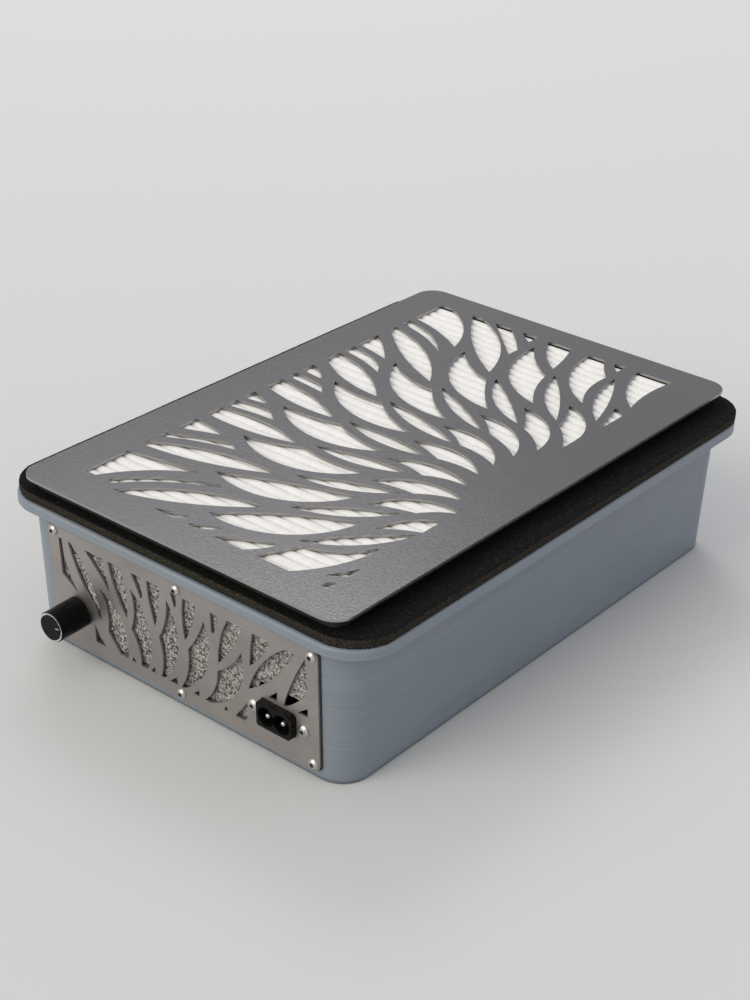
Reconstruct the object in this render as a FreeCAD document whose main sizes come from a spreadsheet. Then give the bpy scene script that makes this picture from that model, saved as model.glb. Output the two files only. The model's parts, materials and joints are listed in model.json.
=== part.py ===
"""Desk-top nail dust collector: a drafted tub that hangs or stands under a flat leaf-pattern grille.

Frame: origin at the centre of the tub's bottom face, +X along the long side, +Z up, millimetres.
The vent panel, the power inlet and the speed knob are on the -X end, which leans out by the draft.
"""
import math
import os

import FreeCAD
import Part
import Sketcher

from FreeCAD import Placement, Rotation, Vector

DIMENSIONS = {
    # tub
    "body_length": 280.0, "body_width": 188.0, "body_corner": 14.0,
    "wall": 3.0, "floor": 3.0, "wall_height": 68.0, "draft": 2.2,
    "flange_length": 296.0, "flange_width": 213.0, "flange_corner": 22.0, "flange_thickness": 4.5,
    # sealing foam on the flange
    "foam_thickness": 4.8, "foam_opening_length": 272.0, "foam_opening_width": 168.0, "foam_shift": 1.0,
    # filter cassette
    "rim_length": 283.0, "rim_width": 178.0, "rim_height": 5.6, "rim_corner": 6.0,
    "frame_length": 270.0, "frame_width": 166.0, "frame_drop": 22.3, "frame_wall": 3.0,
    "drop_corner": 4.0, "mouth_corner": 0.5,
    "pleat_pitch": 6.1, "pleat_count": 43.0, "pleat_height": 23.0, "crest_radius": 2.3,
    "crest_gap": 0.1, "paper": 0.5, "bead_height": 18.0, "bead_gap": 0.3,
    # grille
    "grille_length": 293.0, "grille_width": 188.0, "grille_corner": 10.5, "grille_thickness": 1.2,
    "stud_radius": 1.5, "stud_length": 3.0, "stud_clearance": 0.3,
    "magnet_radius": 3.0, "magnet_thickness": 2.0,
    # vent panel on the end wall
    "panel_length": 159.0, "panel_height": 59.5, "panel_corner": 3.0, "panel_thickness": 1.0,
    "panel_bottom": 5.0, "panel_shift": -1.7, "gasket_thickness": 0.5,
    "window_length": 150.4, "window_height": 47.8, "window_bottom": 10.9, "window_corner": 3.0,
    "panel_screw_pitch": 76.2, "panel_screw_low": 8.0, "panel_screw_high": 61.4,
    "screw_radius": 1.25, "head_radius": 2.4, "head_height": 1.5, "head_rim": 0.5,
    "socket_width": 2.0, "socket_depth": 1.2, "screw_clearance": 0.15,
    "insert_radius": 2.0, "insert_length": 4.0, "boss_radius": 2.9,
    # exhaust foam
    "pad_thickness": 11.0, "pad_lip": 3.2, "pad_step": 49.0, "pad_gap": 0.4, "pad_corner": 1.6,
    "pad_notch_length": 35.1, "pad_notch_level": 29.3, "pad_notch_top_length": 29.5, "pad_notch_top": 34.5,
    # power inlet, figure-eight mains type
    "inlet_y": -58.9, "inlet_height": 22.4, "inlet_length": 19.5, "inlet_width": 12.2,
    "inlet_proud": 3.2, "pin_pitch": 8.6, "pin_radius": 1.2, "inlet_screw_pitch": 28.0,
    "inlet_flange_length": 33.0, "inlet_flange_width": 13.0, "inlet_flange_thickness": 2.5,
    "inlet_head_radius": 2.8, "socket_radius": 4.55, "pin_length": 20.0, "pin_proud": 2.7,
    # speed knob and potentiometer
    "knob_y": 61.0, "knob_height": 24.5, "knob_radius": 7.4, "knob_length": 17.2,
    "ring_width": 0.8, "ring_depth": 0.5, "ring_inset": 0.45, "cap_rise": 0.6,
    "pointer_width": 0.6, "pointer_depth": 0.5,
    "spindle_radius": 3.0, "spindle_length": 22.5, "running_gap": 0.05,
    "pot_radius": 8.5, "pot_depth": 9.0, "bushing_radius": 3.5, "bushing_length": 6.0,
    "washer_radius": 6.0, "washer_thickness": 0.5, "nut_width": 10.0, "nut_height": 2.0,
    # fan
    "deck_level": 50.0, "deck_thickness": 2.5, "deck_gap": 0.6, "post_radius": 5.0,
    "post_x": 116.0, "post_y": 80.0, "fan_x": 25.0, "fan_radius": 80.0, "eye_radius": 50.0,
    "impeller_bottom": 15.0, "impeller_top": 46.0, "disc_thickness": 2.0, "blade_count": 9.0,
    "cup_radius": 31.0, "cup_height": 22.0, "cup_bottom": 13.0, "cup_wall": 1.5, "cup_roof": 2.0,
    "cap_thickness": 1.6, "shaft_radius": 2.0, "shaft_length": 28.5,
    "bracket_size": 92.0, "bracket_level": 9.0, "bracket_thickness": 2.0,
    "tube_radius": 7.0, "tube_length": 20.0, "bearing_radius": 4.5, "bearing_height": 4.0,
    "mount_pitch": 76.0, "mount_radius": 5.0, "mount_height": 3.0,
    "scroll_radius": 86.0, "scroll_thickness": 1.6,
    # control board
    "board_x": -90.0, "board_y": -52.0, "board_length": 44.0, "board_width": 46.0,
    "board_level": 9.0, "board_thickness": 1.6,
}

# Leaf cut-outs of the grille, in the grille's own plane. Each is a closed chain: a corner, then a point
# that the arc to the next corner passes through, or None where that side is straight.
GRILLE_LEAVES = (
    # left end
    ((-125, 73.2), None, (-98.8, 73.4), (-95, 55), (-92.6, 34.3), (-105, 51.6), (-124.6, 66.5), None),
    ((-125.2, 56), None, (-123.2, 59.8), (-105.4, 42), (-94.8, 20), None, (-95.8, 16.8), (-108.5, 39)),
    ((-128.7, 48.2), None, (-128.7, 51), (-106, 25), (-95.4, -9.4), (-112.5, 12.3)),
    ((-128.7, 26), (-125.8, 18.5), (-122.8, 10.5), None, (-124.7, 9.3), None, (-128.7, 14.2), None),
    ((-128.7, 5.4), (-124, 0), (-121.6, -8.8), (-126, -4.4), (-128.7, 0), None),
    ((-128.7, -10.2), (-122, -20.4), (-115.8, -33), None, (-117.6, -34.6), (-123.6, -31),
     (-128.7, -26.4), None),
    ((-128.7, -33.2), None, (-109.6, -43), (-103.4, -57), (-90.5, -67.4), None, (-92, -68.5),
     (-112, -63.4), (-128.7, -52.4), None),
    ((-128.7, -69.2), None, (-126, -69.2), (-124, -70.4), (-122.8, -72.6), None, (-128.7, -72.6), None),
    ((-121.6, -64.8), (-115.4, -69), (-107.8, -72.7), None, (-116.2, -72.7), None),
    ((-115.6, 6), (-95.6, -17.4), (-78.4, -48.2), (-109.6, -28.4)),
    ((-86.6, 29.6), (-73.4, 1), (-61.8, -32.2), (-85.4, -11.6)),
    ((-90, 73.5), None, (-86.4, 73.5), (-73, 45), (-69.8, 12), None, (-70.8, 9.3), (-83, 37)),
    ((-79.6, 73.5), None, (-74, 73.5), (-67, 58), (-62, 44), None, (-65.4, 36.6), (-71, 56.5)),
    ((-67.4, 73.5), None, (-54.8, 73.5), (-56, 62), (-58.4, 50.8), (-62.8, 62.6)),
    ((-88.6, -16.2), (-71.6, -36), (-61.2, -55.6), (-79, -39.6)),
    ((-108, -38.6), (-88, -54), (-71.6, -71.6), None, (-74, -71.6), (-95, -58.6)),
    ((-79, -55.6), (-66, -59.6), (-54.6, -72.7), None, (-68, -72.7), (-73, -63)),
    # along the back edge
    ((-47.4, 73.6), None, (-38.2, 73.6), (-35.6, 53), (-42, 21.6), (-48.1, 51)),
    ((-34.6, 73.6), None, (-27.3, 73.6), (-25.5, 64), (-25.2, 54.2), None, (-31.6, 45.2), (-32.4, 59.5)),
    ((-23.4, 73.6), None, (-14.8, 73.6), (-17.6, 66.5), (-19.8, 60.6), None, (-21.2, 61), None),
    ((-6.2, 73.6), None, (4.4, 73.6), (0.2, 50.5), (-9.9, 28), None, (-11.2, 28.6), (-11.7, 50)),
    ((9.2, 73.6), None, (15, 73.6), (14, 63), (11.9, 54.4), None, (6.2, 49), (8, 62)),
    ((19.2, 73.6), None, (27.6, 73.6), (24.2, 66.8), (19.2, 60.6), None, (17.8, 61), None),
    ((38, 73.6), None, (47.2, 73.6), (38.5, 48.5), (21, 27.2), (25.2, 51.5)),
    ((51, 73.6), None, (58.4, 73.6), (55.2, 60.5), (49.2, 49.2), None, (42, 44.2), (47.6, 57.5)),
    ((62, 73.6), None, (77.4, 73.6), (68.5, 62.8), (57, 52), (59.8, 62.5)),
    ((88, 73.6), None, (92, 73.6), (78.8, 44), (51.6, 18.8), (65.3, 46.3)),
    ((97.4, 73.6), None, (103.4, 73.6), (95.6, 52.6), (81.6, 37), (91, 52.5)),
    ((107.8, 73.8), None, (130.8, 73.8), None, (130.8, 67), (119, 50.6), (92.2, 35.4), (102.2, 54)),
    # right end
    ((131, 53), None, (131, 46.6), (117.8, 26.6), (79.8, 3.8), (101, 30.2)),
    ((131, 38.4), None, (131, 28.4), (122, 18.8), (111.5, 9.6), None, (103.6, 9.6), (117, 23.5)),
    ((131, 20.6), None, (131, 11), None, (123, 11), (125.5, 14.5)),
    ((119.6, 5), (104.5, -7.4), (95.4, -19.4), (80.5, -24), (65.6, -33.4), (84, -5)),
    ((131, 3.8), None, (131, -9.8), (119, -14.2), (104.4, -17.2), (114.5, -6.3)),
    ((125, -21.2), None, (130.8, -22), None, (130.8, -30.6), (122, -36), (114.4, -42.6), (100, -43),
     (81.8, -50.8), (98.2, -31.2)),
    ((131, -36.6), None, (131, -43), None, (123.2, -43), (126.4, -39.4)),
    ((115.4, -46.8), (94, -58.4), (70.2, -66.4), (89.5, -52.2)),
    ((130.8, -50.6), None, (130.8, -69.8), (112, -68), (93.6, -70.6), (109, -57.6)),
    ((88.2, -65.4), (86, -69.5), (83, -72.6), None, (62.6, -72.6), (75.6, -68.9)),
    ((75.4, -47.4), (68.4, -61), (47, -70.8), None, (36, -70.8), (47.5, -63.2), (54.6, -56), (66.5, -52.4)),
    ((58.8, -32.8), (52.5, -50.6), (26.6, -63.6), (35, -55.4), (40.6, -45.6), (50.4, -40)),
    ((98.8, -22.6), (82, -37.4), (58, -52.2), (74.6, -33.4)),
    ((91.4, 28), (79.4, 15), (71.8, -0.6), (58, -10), (46, -20.8), (60.5, 14)),
    ((76, -3.4), (61, -22.4), (42.6, -41), (55, -17.6)),
    # middle
    ((-52.6, 45.6), (-49, 31), (-42.4, 16.8), (-44.6, 3), (-42.2, -20.6), (-62.1, 13.5)),
    ((-38, 14), (-31.2, -11), (-29.8, -35), (-39.2, -11)),
    ((-17.4, 52.8), (-16.7, 36), (-13.4, 20), (-19, 6), (-20.8, -13), (-32.3, 18)),
    ((-9, 18.6), (-7.8, -7), (-12, -30), (-15.9, -5.5)),
    ((20.2, 53), (16.6, 38), (17, 20.4), (8.4, 8.4), (1.6, -10.4), (-2.2, 20)),
    ((20.8, 19), (15.6, -8.6), (7.4, -29.6), None, (6.2, -28.6), (8.8, -3.5)),
    ((17.2, -16.2), (19.8, -33), (1.4, -57.6), (5.8, -46), (6.8, -34.4), (12.6, -27)),
    ((-4.2, -15.6), (1.1, -37), (-10.6, -58.2), (-9.2, -47), (-10.8, -35.4), (-7.4, -27)),
    ((-26.2, -17.8), (-16.2, -40), (-22.6, -61.8), (-23.6, -50), (-27.8, -40.2), (-25.4, -30)),
    ((-47, -26.2), (-32.2, -43.5), (-34.2, -68.8), (-37.4, -58), (-43.6, -48.2), (-44.4, -38)),
    ((-65.4, 1.2), (-52.6, -23.2), (-46.6, -43.8), (-60, -26)),
    ((-64.4, -39), (-47.5, -51), (-43.2, -72.6), None, (-45.4, -72.6), (-50.6, -65.2), (-56.6, -60),
     (-60, -49)),
    ((57.2, 45.2), (47.4, 28), (45, 12), (33, 0.8), (24, -13.8), (29.6, 22)),
    ((50.2, 10), (38.4, -13.4), (25.6, -33.2), (34, -8.4)),
    ((38.6, -21.8), (35.4, -43.4), (14.4, -59.2), (21.2, -48.6), (25.2, -37.4), (32.6, -30.6)),
)

# Vent cut-outs of the end panel, seen from outside: the first number runs to the right along -Y, the
# second up the wall. The chains read as above.
PANEL_LEAVES = (
    ((-71.5, 58.8), None, (-69.5, 58.8), (-67.7, 46.6), (-61.3, 33.6), None, (-71.1, 40.2), None),
    ((-65.5, 58.8), None, (-63.9, 58.8), (-52.7, 44.8), (-47.3, 25), (-58.2, 40.2)),
    ((-54.5, 58.8), None, (-43.7, 58.8), (-41.9, 51), (-40.4, 42.8), (-47.6, 51.2)),
    ((-40.1, 58.8), None, (-31.7, 58.8), (-29.7, 47.6), (-30.3, 33.4), (-36.7, 45)),
    ((-25.7, 58.8), None, (-19.1, 58.8), None, (-19.5, 48.6), None, (-20.7, 48), None),
    ((-16.1, 58.8), None, (-8.1, 58.8), (-9.4, 48.6), (-12.4, 37), (-15.3, 47.6)),
    ((-26.9, 50.2), (-17.4, 36.4), (-19.1, 11.6), None, (-23.2, 11.6), (-24, 20.2), (-28.1, 28.6),
     (-25.7, 38.6)),
    ((-47.1, 41.8), (-35.4, 32.6), (-31.5, 11.6), None, (-36.6, 11.6), None, (-43.4, 20.6), (-43.3, 31.6)),
    ((-4.6, 54), (1.4, 36.4), (-8.7, 11.6), None, (-10.6, 11.6), (-8.9, 21.8), (-10.7, 32.2), (-6.1, 42.6)),
    ((-1.9, 58.8), None, (1.7, 58.8), None, (1.3, 53), None, (0.3, 52), None),
    ((-27.8, 14.2), None, (-26.4, 11.6), None, (-29.1, 11.6), None),
    ((-14.6, 14.8), None, (-14.4, 11.6), None, (-17, 11.6), None),
    ((-0.7, 15.6), None, (-0.7, 11.6), None, (-5.3, 11.6), None),
    ((-52.2, 21.1), (-48.9, 15.4), (-45.7, 11.6), None, (-52.2, 11.6), None),
    ((5.5, 58.8), None, (12.9, 58.8), (10.5, 46.8), (5.6, 37.7), (4.5, 48.8)),
    ((17.4, 52.4), (19.7, 35.4), (3.1, 11.6), None, (1.8, 11.6), (6.2, 21.8), (7, 33.6), (12.3, 41.4)),
    ((21.5, 58.6), None, (26.5, 58.6), None, (23.3, 48.8), None, (21.9, 49), None),
    ((31.5, 58.8), None, (39.9, 58.8), (32.9, 44.6), (25, 34.7), (26.6, 46.8)),
    ((38.8, 46), (37.2, 27.6), (19.3, 11.6), None, (16, 11.6), (21.9, 19.8), (24.2, 30.2), (31.8, 36.4)),
    ((45.5, 58.6), None, (55.3, 58.6), (50.5, 49.4), (43.5, 41.8), (44.1, 49.8)),
    ((63.7, 58.6), None, (68.7, 58.6), (58.9, 43.6), (42.3, 29.4), (50.3, 45.6)),
    ((74.3, 58.6), (75.6, 48.8), (74.7, 41.4), (69.6, 35.4), (63.4, 30.2), None, (61.9, 30.2), (67.3, 44.8)),
    ((58.6, 35.2), None, (58.2, 30.4), None, (53.4, 30.4), None),
    ((75.3, 34.6), None, (75.3, 30.4), None, (69.7, 30.4), None),
    ((40.8, 21.4), (41.4, 16.4), (39.7, 11.6), None, (33.9, 11.6), (37.9, 17.2)),
    ((12.5, 14.6), None, (12.5, 11.6), None, (8.9, 11.6), None),
    ((28.7, 14), None, (29.4, 11.6), None, (26.9, 11.6), None),
)

# The knob's base stands this far off the panel, and its pointer is left towards -Y and a little up: in the
# knob's outward frame X still runs along +Y.
KNOB_BASE = 1.0
POINTER_ANGLE = 180.0 + 15.0

document = FreeCAD.newDocument("nail_dust_collector")
nodes = []


def make_sheet():
    """Put every driving dimension in its own named cell."""
    sheet = document.addObject("Spreadsheet::Sheet", "dims")
    for row, (alias, number) in enumerate(DIMENSIONS.items(), start=1):
        sheet.set(f"A{row}", alias)
        sheet.set(f"B{row}", str(number))
        sheet.setAlias(f"B{row}", alias)
    document.recompute()
    return sheet


dims = make_sheet()


def bind(item, **formulas):
    """Tie properties to formulas over the sheet's cells."""
    for name, formula in formulas.items():
        item.setExpression(name, formula)


def keep(item, label):
    """Name a finished sub-part and put it on the list of nodes to write."""
    item.Label = label
    nodes.append(item)
    return item


# Heights and offsets that several pieces share
flange_top = dims.wall_height + dims.flange_thickness
foam_top = flange_top + dims.foam_thickness
rim_top = foam_top + dims.rim_height
lean = math.radians(dims.draft)
media_top = rim_top - dims.crest_gap
media_low = media_top - dims.pleat_height
panel_back = -dims.gasket_thickness
panel_face = panel_back - dims.panel_thickness
window_middle = dims.window_bottom + dims.window_height / 2
panel_middle = dims.panel_bottom + dims.panel_height / 2

# The end wall's own frame: X along +Y, Y up the leaning wall, Z into the tub; depth 0 is the wall's face
END_WALL = Placement(
    Vector(-dims.body_length / 2, 0, 0),
    Rotation(
        Vector(0, 1, 0),
        Vector(-math.sin(lean), 0, math.cos(lean)),
        Vector(math.cos(lean), 0, math.sin(lean)),
        "XYZ",
    ),
)


# ---- sketch and solid helpers -------------------------------------------------------------------------

def new_body(label, placement=None):
    body = document.addObject("PartDesign::Body", label)
    if placement is not None:
        body.Placement = placement
    return keep(body, label)


def new_sketch(body, name, role="XY_Plane", offset=None):
    """A sketch on one of the body's own origin planes, moved by an optional placement or height."""
    plane = next(item for item in body.Origin.OriginFeatures if item.Role == role)
    sketch = body.newObject("Sketcher::SketchObject", name)
    sketch.AttachmentSupport = (plane, "")
    sketch.MapMode = "FlatFace"
    if isinstance(offset, Placement):
        sketch.AttachmentOffset = offset
    elif offset is not None:
        bind(sketch, **{"AttachmentOffset.Base.z": offset})
    return sketch


def value(formula):
    return float(dims.evalExpression(formula))


def rounded_rectangle(sketch, length, width, radius, centre=(0.0, 0.0)):
    """A rectangle with four equal round corners, its length, width and radius tied to the sheet."""
    half_x = value(length) / 2
    half_y = value(width) / 2
    corner = value(radius)
    cx, cy = centre
    first = sketch.GeometryCount
    corners = [(1, 1, 0), (-1, 1, 90), (-1, -1, 180), (1, -1, 270)]
    ends = []
    for side_x, side_y, start in corners:
        middle = Vector(cx + side_x * (half_x - corner), cy + side_y * (half_y - corner), 0)
        circle = Part.Circle(middle, Vector(0, 0, 1), corner)
        arc = Part.ArcOfCircle(circle, math.radians(start), math.radians(start + 90))
        sketch.addGeometry(arc, False)
        ends.append((arc.StartPoint, arc.EndPoint))
    for index in range(4):
        sketch.addGeometry(Part.LineSegment(ends[index][1], ends[(index + 1) % 4][0]), False)
    for index in range(4):
        line = first + 4 + index
        sketch.addConstraint(Sketcher.Constraint("Tangent", first + index, 2, line, 1))
        sketch.addConstraint(Sketcher.Constraint("Tangent", line, 2, first + (index + 1) % 4, 1))
        sketch.addConstraint(Sketcher.Constraint("Horizontal" if index % 2 == 0 else "Vertical", line))
    for index in range(1, 4):
        sketch.addConstraint(Sketcher.Constraint("Equal", first, first + index))
    sized = [
        ("Radius", (first, corner), radius),
        ("DistanceX", (first + 5, 1, first + 7, 1, 2 * half_x), length),
        ("DistanceY", (first + 6, 1, first + 4, 1, 2 * half_y), width),
        ("DistanceX", (-1, 1, first, 3, cx + half_x - corner), f"{cx} + ({length}) / 2 - ({radius})"),
        ("DistanceY", (-1, 1, first, 3, cy + half_y - corner), f"{cy} + ({width}) / 2 - ({radius})"),
    ]
    for kind, arguments, formula in sized:
        index = sketch.addConstraint(Sketcher.Constraint(kind, *arguments))
        sketch.setExpression(f"Constraints[{index}]", formula)


def chain(sketch, points, mirror=1):
    """A closed chain of corners and the points their arcs pass through."""
    vectors = [None if point is None else Vector(mirror * point[0], point[1], 0) for point in points]
    for index in range(0, len(vectors), 2):
        start = vectors[index]
        via = vectors[index + 1]
        end = vectors[(index + 2) % len(vectors)]
        side = Part.LineSegment(start, end) if via is None else Part.Arc(start, via, end)
        sketch.addGeometry(side, False)


def polygon(sketch, corners):
    chain(sketch, [item for corner in corners for item in (corner, None)])


def circles(sketch, centres, radius):
    for centre in centres:
        sketch.addGeometry(Part.Circle(Vector(centre[0], centre[1], 0), Vector(0, 0, 1), radius), False)


def pad(body, sketch, length, reversed_way=False, taper=None):
    feature = body.newObject("PartDesign::Pad", sketch.Name + "_pad")
    feature.Profile = sketch
    feature.Reversed = reversed_way
    bind(feature, Length=length)
    if taper is not None:
        bind(feature, TaperAngle=taper)
    document.recompute()
    return feature


def pocket(body, sketch, length, reversed_way=False, taper=None):
    """Cut a sketch into the body, and stop if nothing was removed."""
    before = body.Shape.Volume
    feature = body.newObject("PartDesign::Pocket", sketch.Name + "_cut")
    feature.Profile = sketch
    feature.Reversed = reversed_way
    bind(feature, Length=length)
    if taper is not None:
        bind(feature, TaperAngle=taper)
    document.recompute()
    if body.Shape.Volume > before - 0.5:
        raise RuntimeError(f"{sketch.Name} cut nothing")
    return feature


def fillet(body, radius, chooser):
    """Round the edges of the body's tip that the chooser picks."""
    tip = body.Tip
    names = [f"Edge{index}" for index, edge in enumerate(tip.Shape.Edges, start=1) if chooser(edge)]
    feature = body.newObject("PartDesign::Fillet", body.Name + "_fillet")
    feature.Base = (tip, names)
    feature.Radius = radius
    document.recompute()
    return feature


def turned(label, profile, placement):
    """A body of revolution: the profile's first number is the radius, the second the height."""
    body = new_body(label, placement)
    sketch = new_sketch(body, label + "_profile", "XZ_Plane")
    chain(sketch, profile)
    feature = body.newObject("PartDesign::Revolution", label + "_turn")
    feature.Profile = sketch
    feature.ReferenceAxis = (sketch, ["V_Axis"])
    feature.Angle = 360
    document.recompute()
    return body


def outline(*corners):
    """Straight-sided chain for a turned profile."""
    return [item for corner in corners for item in (corner, None)]


def block(name, sizes, placement):
    piece = document.addObject("Part::Box", name)
    bind(piece, Length=sizes[0], Width=sizes[1], Height=sizes[2])
    piece.Placement = placement
    return piece


def rod(name, radius, height, placement):
    piece = document.addObject("Part::Cylinder", name)
    bind(piece, Radius=radius, Height=height)
    piece.Placement = placement
    return piece


def tube(name, outer, inner, height, placement):
    piece = document.addObject("Part::Cut", name)
    piece.Base = rod(name + "_outer", outer, height, placement)
    piece.Tool = rod(name + "_inner", inner, height, placement)
    return piece


def group(label, pieces):
    """Separate solids of one kind, kept together in one node."""
    compound = document.addObject("Part::Compound", label)
    compound.Links = pieces
    return keep(compound, label)


def at(x, y, z):
    return Placement(Vector(x, y, z), Rotation())


def on_fan_axis(z, turn=0):
    """A place on the fan's axis, turned about it by an angle in degrees."""
    return Placement(Vector(dims.fan_x, 0, z), Rotation(Vector(0, 0, 1), turn))


def on_wall(y, up, depth):
    """A place on the leaning end wall, its Z axis pointing into the tub."""
    return END_WALL * at(y, up, depth)


def corners_of(half_x, half_y):
    return [(x, y) for x in (-half_x, half_x) for y in (-half_y, half_y)]


def button_screw(length, head):
    """A domed screw with a hexagon socket: its head is above Z = 0, its shank below."""
    rise = dims.head_height
    rim = dims.head_rim
    edge = [Vector(0, 0, rise), Vector(0, 0, -length), Vector(dims.screw_radius, 0, -length),
            Vector(dims.screw_radius, 0, 0), Vector(head, 0, 0), Vector(head, 0, rim)]
    sides = [Part.LineSegment(edge[index], edge[index + 1]).toShape() for index in range(5)]
    dome = Part.Arc(edge[5], Vector(head * 0.62, 0, rim + (rise - rim) * 0.78), edge[0]).toShape()
    face = Part.Face(Part.Wire(sides + [dome]))
    solid = face.revolve(Vector(0, 0, 0), Vector(0, 0, 1), 360)
    socket = hexagon_prism(dims.socket_width, dims.socket_depth + 0.1)
    socket.translate(Vector(0, 0, rise - dims.socket_depth))
    return solid.cut(socket)


def hexagon_prism(across_flats, height):
    """A hexagonal prism about Z that stands on Z = 0, with its corners up and down."""
    reach = across_flats / math.sqrt(3)
    turns = [math.radians(60 * index) for index in range(7)]
    corners = [Vector(reach * math.sin(turn), reach * math.cos(turn), 0) for turn in turns]
    return Part.Face(Part.makePolygon(corners)).extrude(Vector(0, 0, height))


def shape_group(label, shape, places):
    """Copies of one shape at several places, kept as one node of separate solids."""
    feature = document.addObject("Part::Feature", label)
    copies = []
    for place in places:
        copy = shape.copy()
        copy.Placement = place
        copies.append(copy)
    feature.Shape = Part.makeCompound(copies)
    return keep(feature, label)


def outward(place):
    """Turn a place on the wall round, so that its Z axis points out of the tub."""
    return place * Placement(Vector(0, 0, 0), Rotation(Vector(1, 0, 0), 180))


# ---- tub and flange -----------------------------------------------------------------------------------

def make_body_shell():
    """The tub: drafted walls, a flange round the mouth, a window and bosses in the end wall, posts inside."""
    body = new_body("body_shell")
    foot = new_sketch(body, "tub_foot")
    rounded_rectangle(foot, "dims.body_length", "dims.body_width", "dims.body_corner")
    pad(body, foot, "dims.wall_height", taper="dims.draft")
    rim = new_sketch(body, "tub_flange", offset="dims.wall_height")
    rounded_rectangle(rim, "dims.flange_length", "dims.flange_width", "dims.flange_corner")
    pad(body, rim, "dims.flange_thickness")
    fillet(body, 1.2, lambda edge: edge.BoundBox.ZMax < 0.01)
    fillet(body, 1.5, lambda edge: edge.BoundBox.ZMin > flange_top - 0.01)
    well = new_sketch(body, "tub_well", offset="dims.floor")
    rounded_rectangle(
        well,
        "dims.body_length - 2 * dims.wall",
        "dims.body_width - 2 * dims.wall",
        "dims.body_corner - dims.wall",
    )
    pocket(body, well, "dims.wall_height + dims.flange_thickness", reversed_way=True, taper="dims.draft")
    add_deck_posts(body)
    add_motor_bosses(body)
    add_panel_window(body)


def add_deck_posts(body):
    """Four tall posts that carry the fan deck, each with a screw hole down its top."""
    posts = new_sketch(body, "deck_posts", offset="dims.floor - 1")
    circles(posts, corners_of(dims.post_x, dims.post_y), dims.post_radius)
    pad(body, posts, "dims.deck_level - dims.floor + 1")
    holes = new_sketch(body, "deck_post_holes", offset="dims.deck_level")
    circles(holes, corners_of(dims.post_x, dims.post_y), dims.screw_radius)
    pocket(body, holes, "12")


def add_motor_bosses(body):
    """Four low bosses under the motor's rubber mounts."""
    half = dims.mount_pitch / 2
    centres = [(dims.fan_x + x, y) for x, y in corners_of(half, half)]
    bosses = new_sketch(body, "motor_bosses", offset="dims.floor - 1")
    circles(bosses, centres, dims.mount_radius)
    pad(body, bosses, "dims.bracket_level - dims.mount_height - dims.floor + 1")
    holes = new_sketch(body, "motor_boss_holes", offset="dims.bracket_level - dims.mount_height")
    circles(holes, centres, dims.screw_radius)
    pocket(body, holes, "4")


def add_panel_window(body):
    """The end wall's vent window, with a boss and an insert hole behind each panel screw."""
    wall_offset = Placement(Vector(0, 0, -dims.body_length / 2), Rotation(Vector(1, 0, 0), -dims.draft))
    boss_offset = Placement(Vector(0, 0, -dims.body_length / 2 + 4), Rotation())
    centres = panel_screw_places()
    bosses = new_sketch(body, "panel_bosses", "YZ_Plane", boss_offset)
    circles(bosses, centres, dims.boss_radius)
    pad(body, bosses, "3.9", reversed_way=True)
    window = new_sketch(body, "panel_window", "YZ_Plane", wall_offset)
    rounded_rectangle(window, "dims.window_length", "dims.window_height", "dims.window_corner",
                      (dims.panel_shift, window_middle))
    pocket(body, window, "dims.wall + 0.5", reversed_way=True)
    holes = new_sketch(body, "insert_holes", "YZ_Plane", wall_offset)
    circles(holes, centres, dims.insert_radius)
    pocket(body, holes, "dims.insert_length", reversed_way=True)


def panel_screw_places():
    return [
        (dims.panel_shift + column * dims.panel_screw_pitch, row)
        for column in (-1, 0, 1)
        for row in (dims.panel_screw_low, dims.panel_screw_high)
    ]


def make_foam_gasket():
    """The soft black pad on the flange, laid by hand a little to one side."""
    body = new_body("foam_gasket", at(dims.foam_shift, 0, flange_top))
    edge = new_sketch(body, "pad_edge")
    rounded_rectangle(edge, "dims.flange_length", "dims.flange_width", "dims.flange_corner")
    pad(body, edge, "dims.foam_thickness")
    mouth = new_sketch(body, "pad_mouth")
    rounded_rectangle(mouth, "dims.foam_opening_length", "dims.foam_opening_width", "6",
                      (-dims.foam_shift, 0.0))
    pocket(body, mouth, "dims.foam_thickness", reversed_way=True)


# ---- filter cassette ----------------------------------------------------------------------------------

def magnet_places():
    side_x = (dims.rim_length + dims.frame_length - 2 * dims.frame_wall) / 4
    side_y = (dims.rim_width + dims.frame_width - 2 * dims.frame_wall) / 4
    return [(-side_x, 0), (side_x, 0), (0, -side_y), (0, side_y)]


def stud_places():
    side_x = (dims.rim_length + dims.frame_length - 2 * dims.frame_wall) / 4
    side_y = (dims.rim_width + dims.frame_width - 2 * dims.frame_wall) / 4
    return corners_of(side_x, side_y)


def make_filter_frame():
    """A black frame that drops into the tub and hangs on the foam by its rim."""
    body = new_body("filter_frame", at(0, 0, foam_top))
    rim = new_sketch(body, "frame_rim")
    rounded_rectangle(rim, "dims.rim_length", "dims.rim_width", "dims.rim_corner")
    pad(body, rim, "dims.rim_height")
    drop = new_sketch(body, "frame_drop")
    rounded_rectangle(drop, "dims.frame_length", "dims.frame_width", "dims.drop_corner")
    pad(body, drop, "dims.frame_drop", reversed_way=True)
    mouth = new_sketch(body, "frame_mouth", offset="dims.rim_height")
    rounded_rectangle(
        mouth,
        "dims.frame_length - 2 * dims.frame_wall",
        "dims.frame_width - 2 * dims.frame_wall",
        "dims.mouth_corner",
    )
    pocket(body, mouth, "dims.rim_height + dims.frame_drop")
    magnets = new_sketch(body, "magnet_seats", offset="dims.rim_height")
    circles(magnets, magnet_places(), dims.magnet_radius)
    pocket(body, magnets, "dims.magnet_thickness")
    studs = new_sketch(body, "stud_seats", offset="dims.rim_height")
    circles(studs, stud_places(), dims.stud_radius + dims.stud_clearance)
    pocket(body, studs, "dims.stud_length + 0.4")


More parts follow.
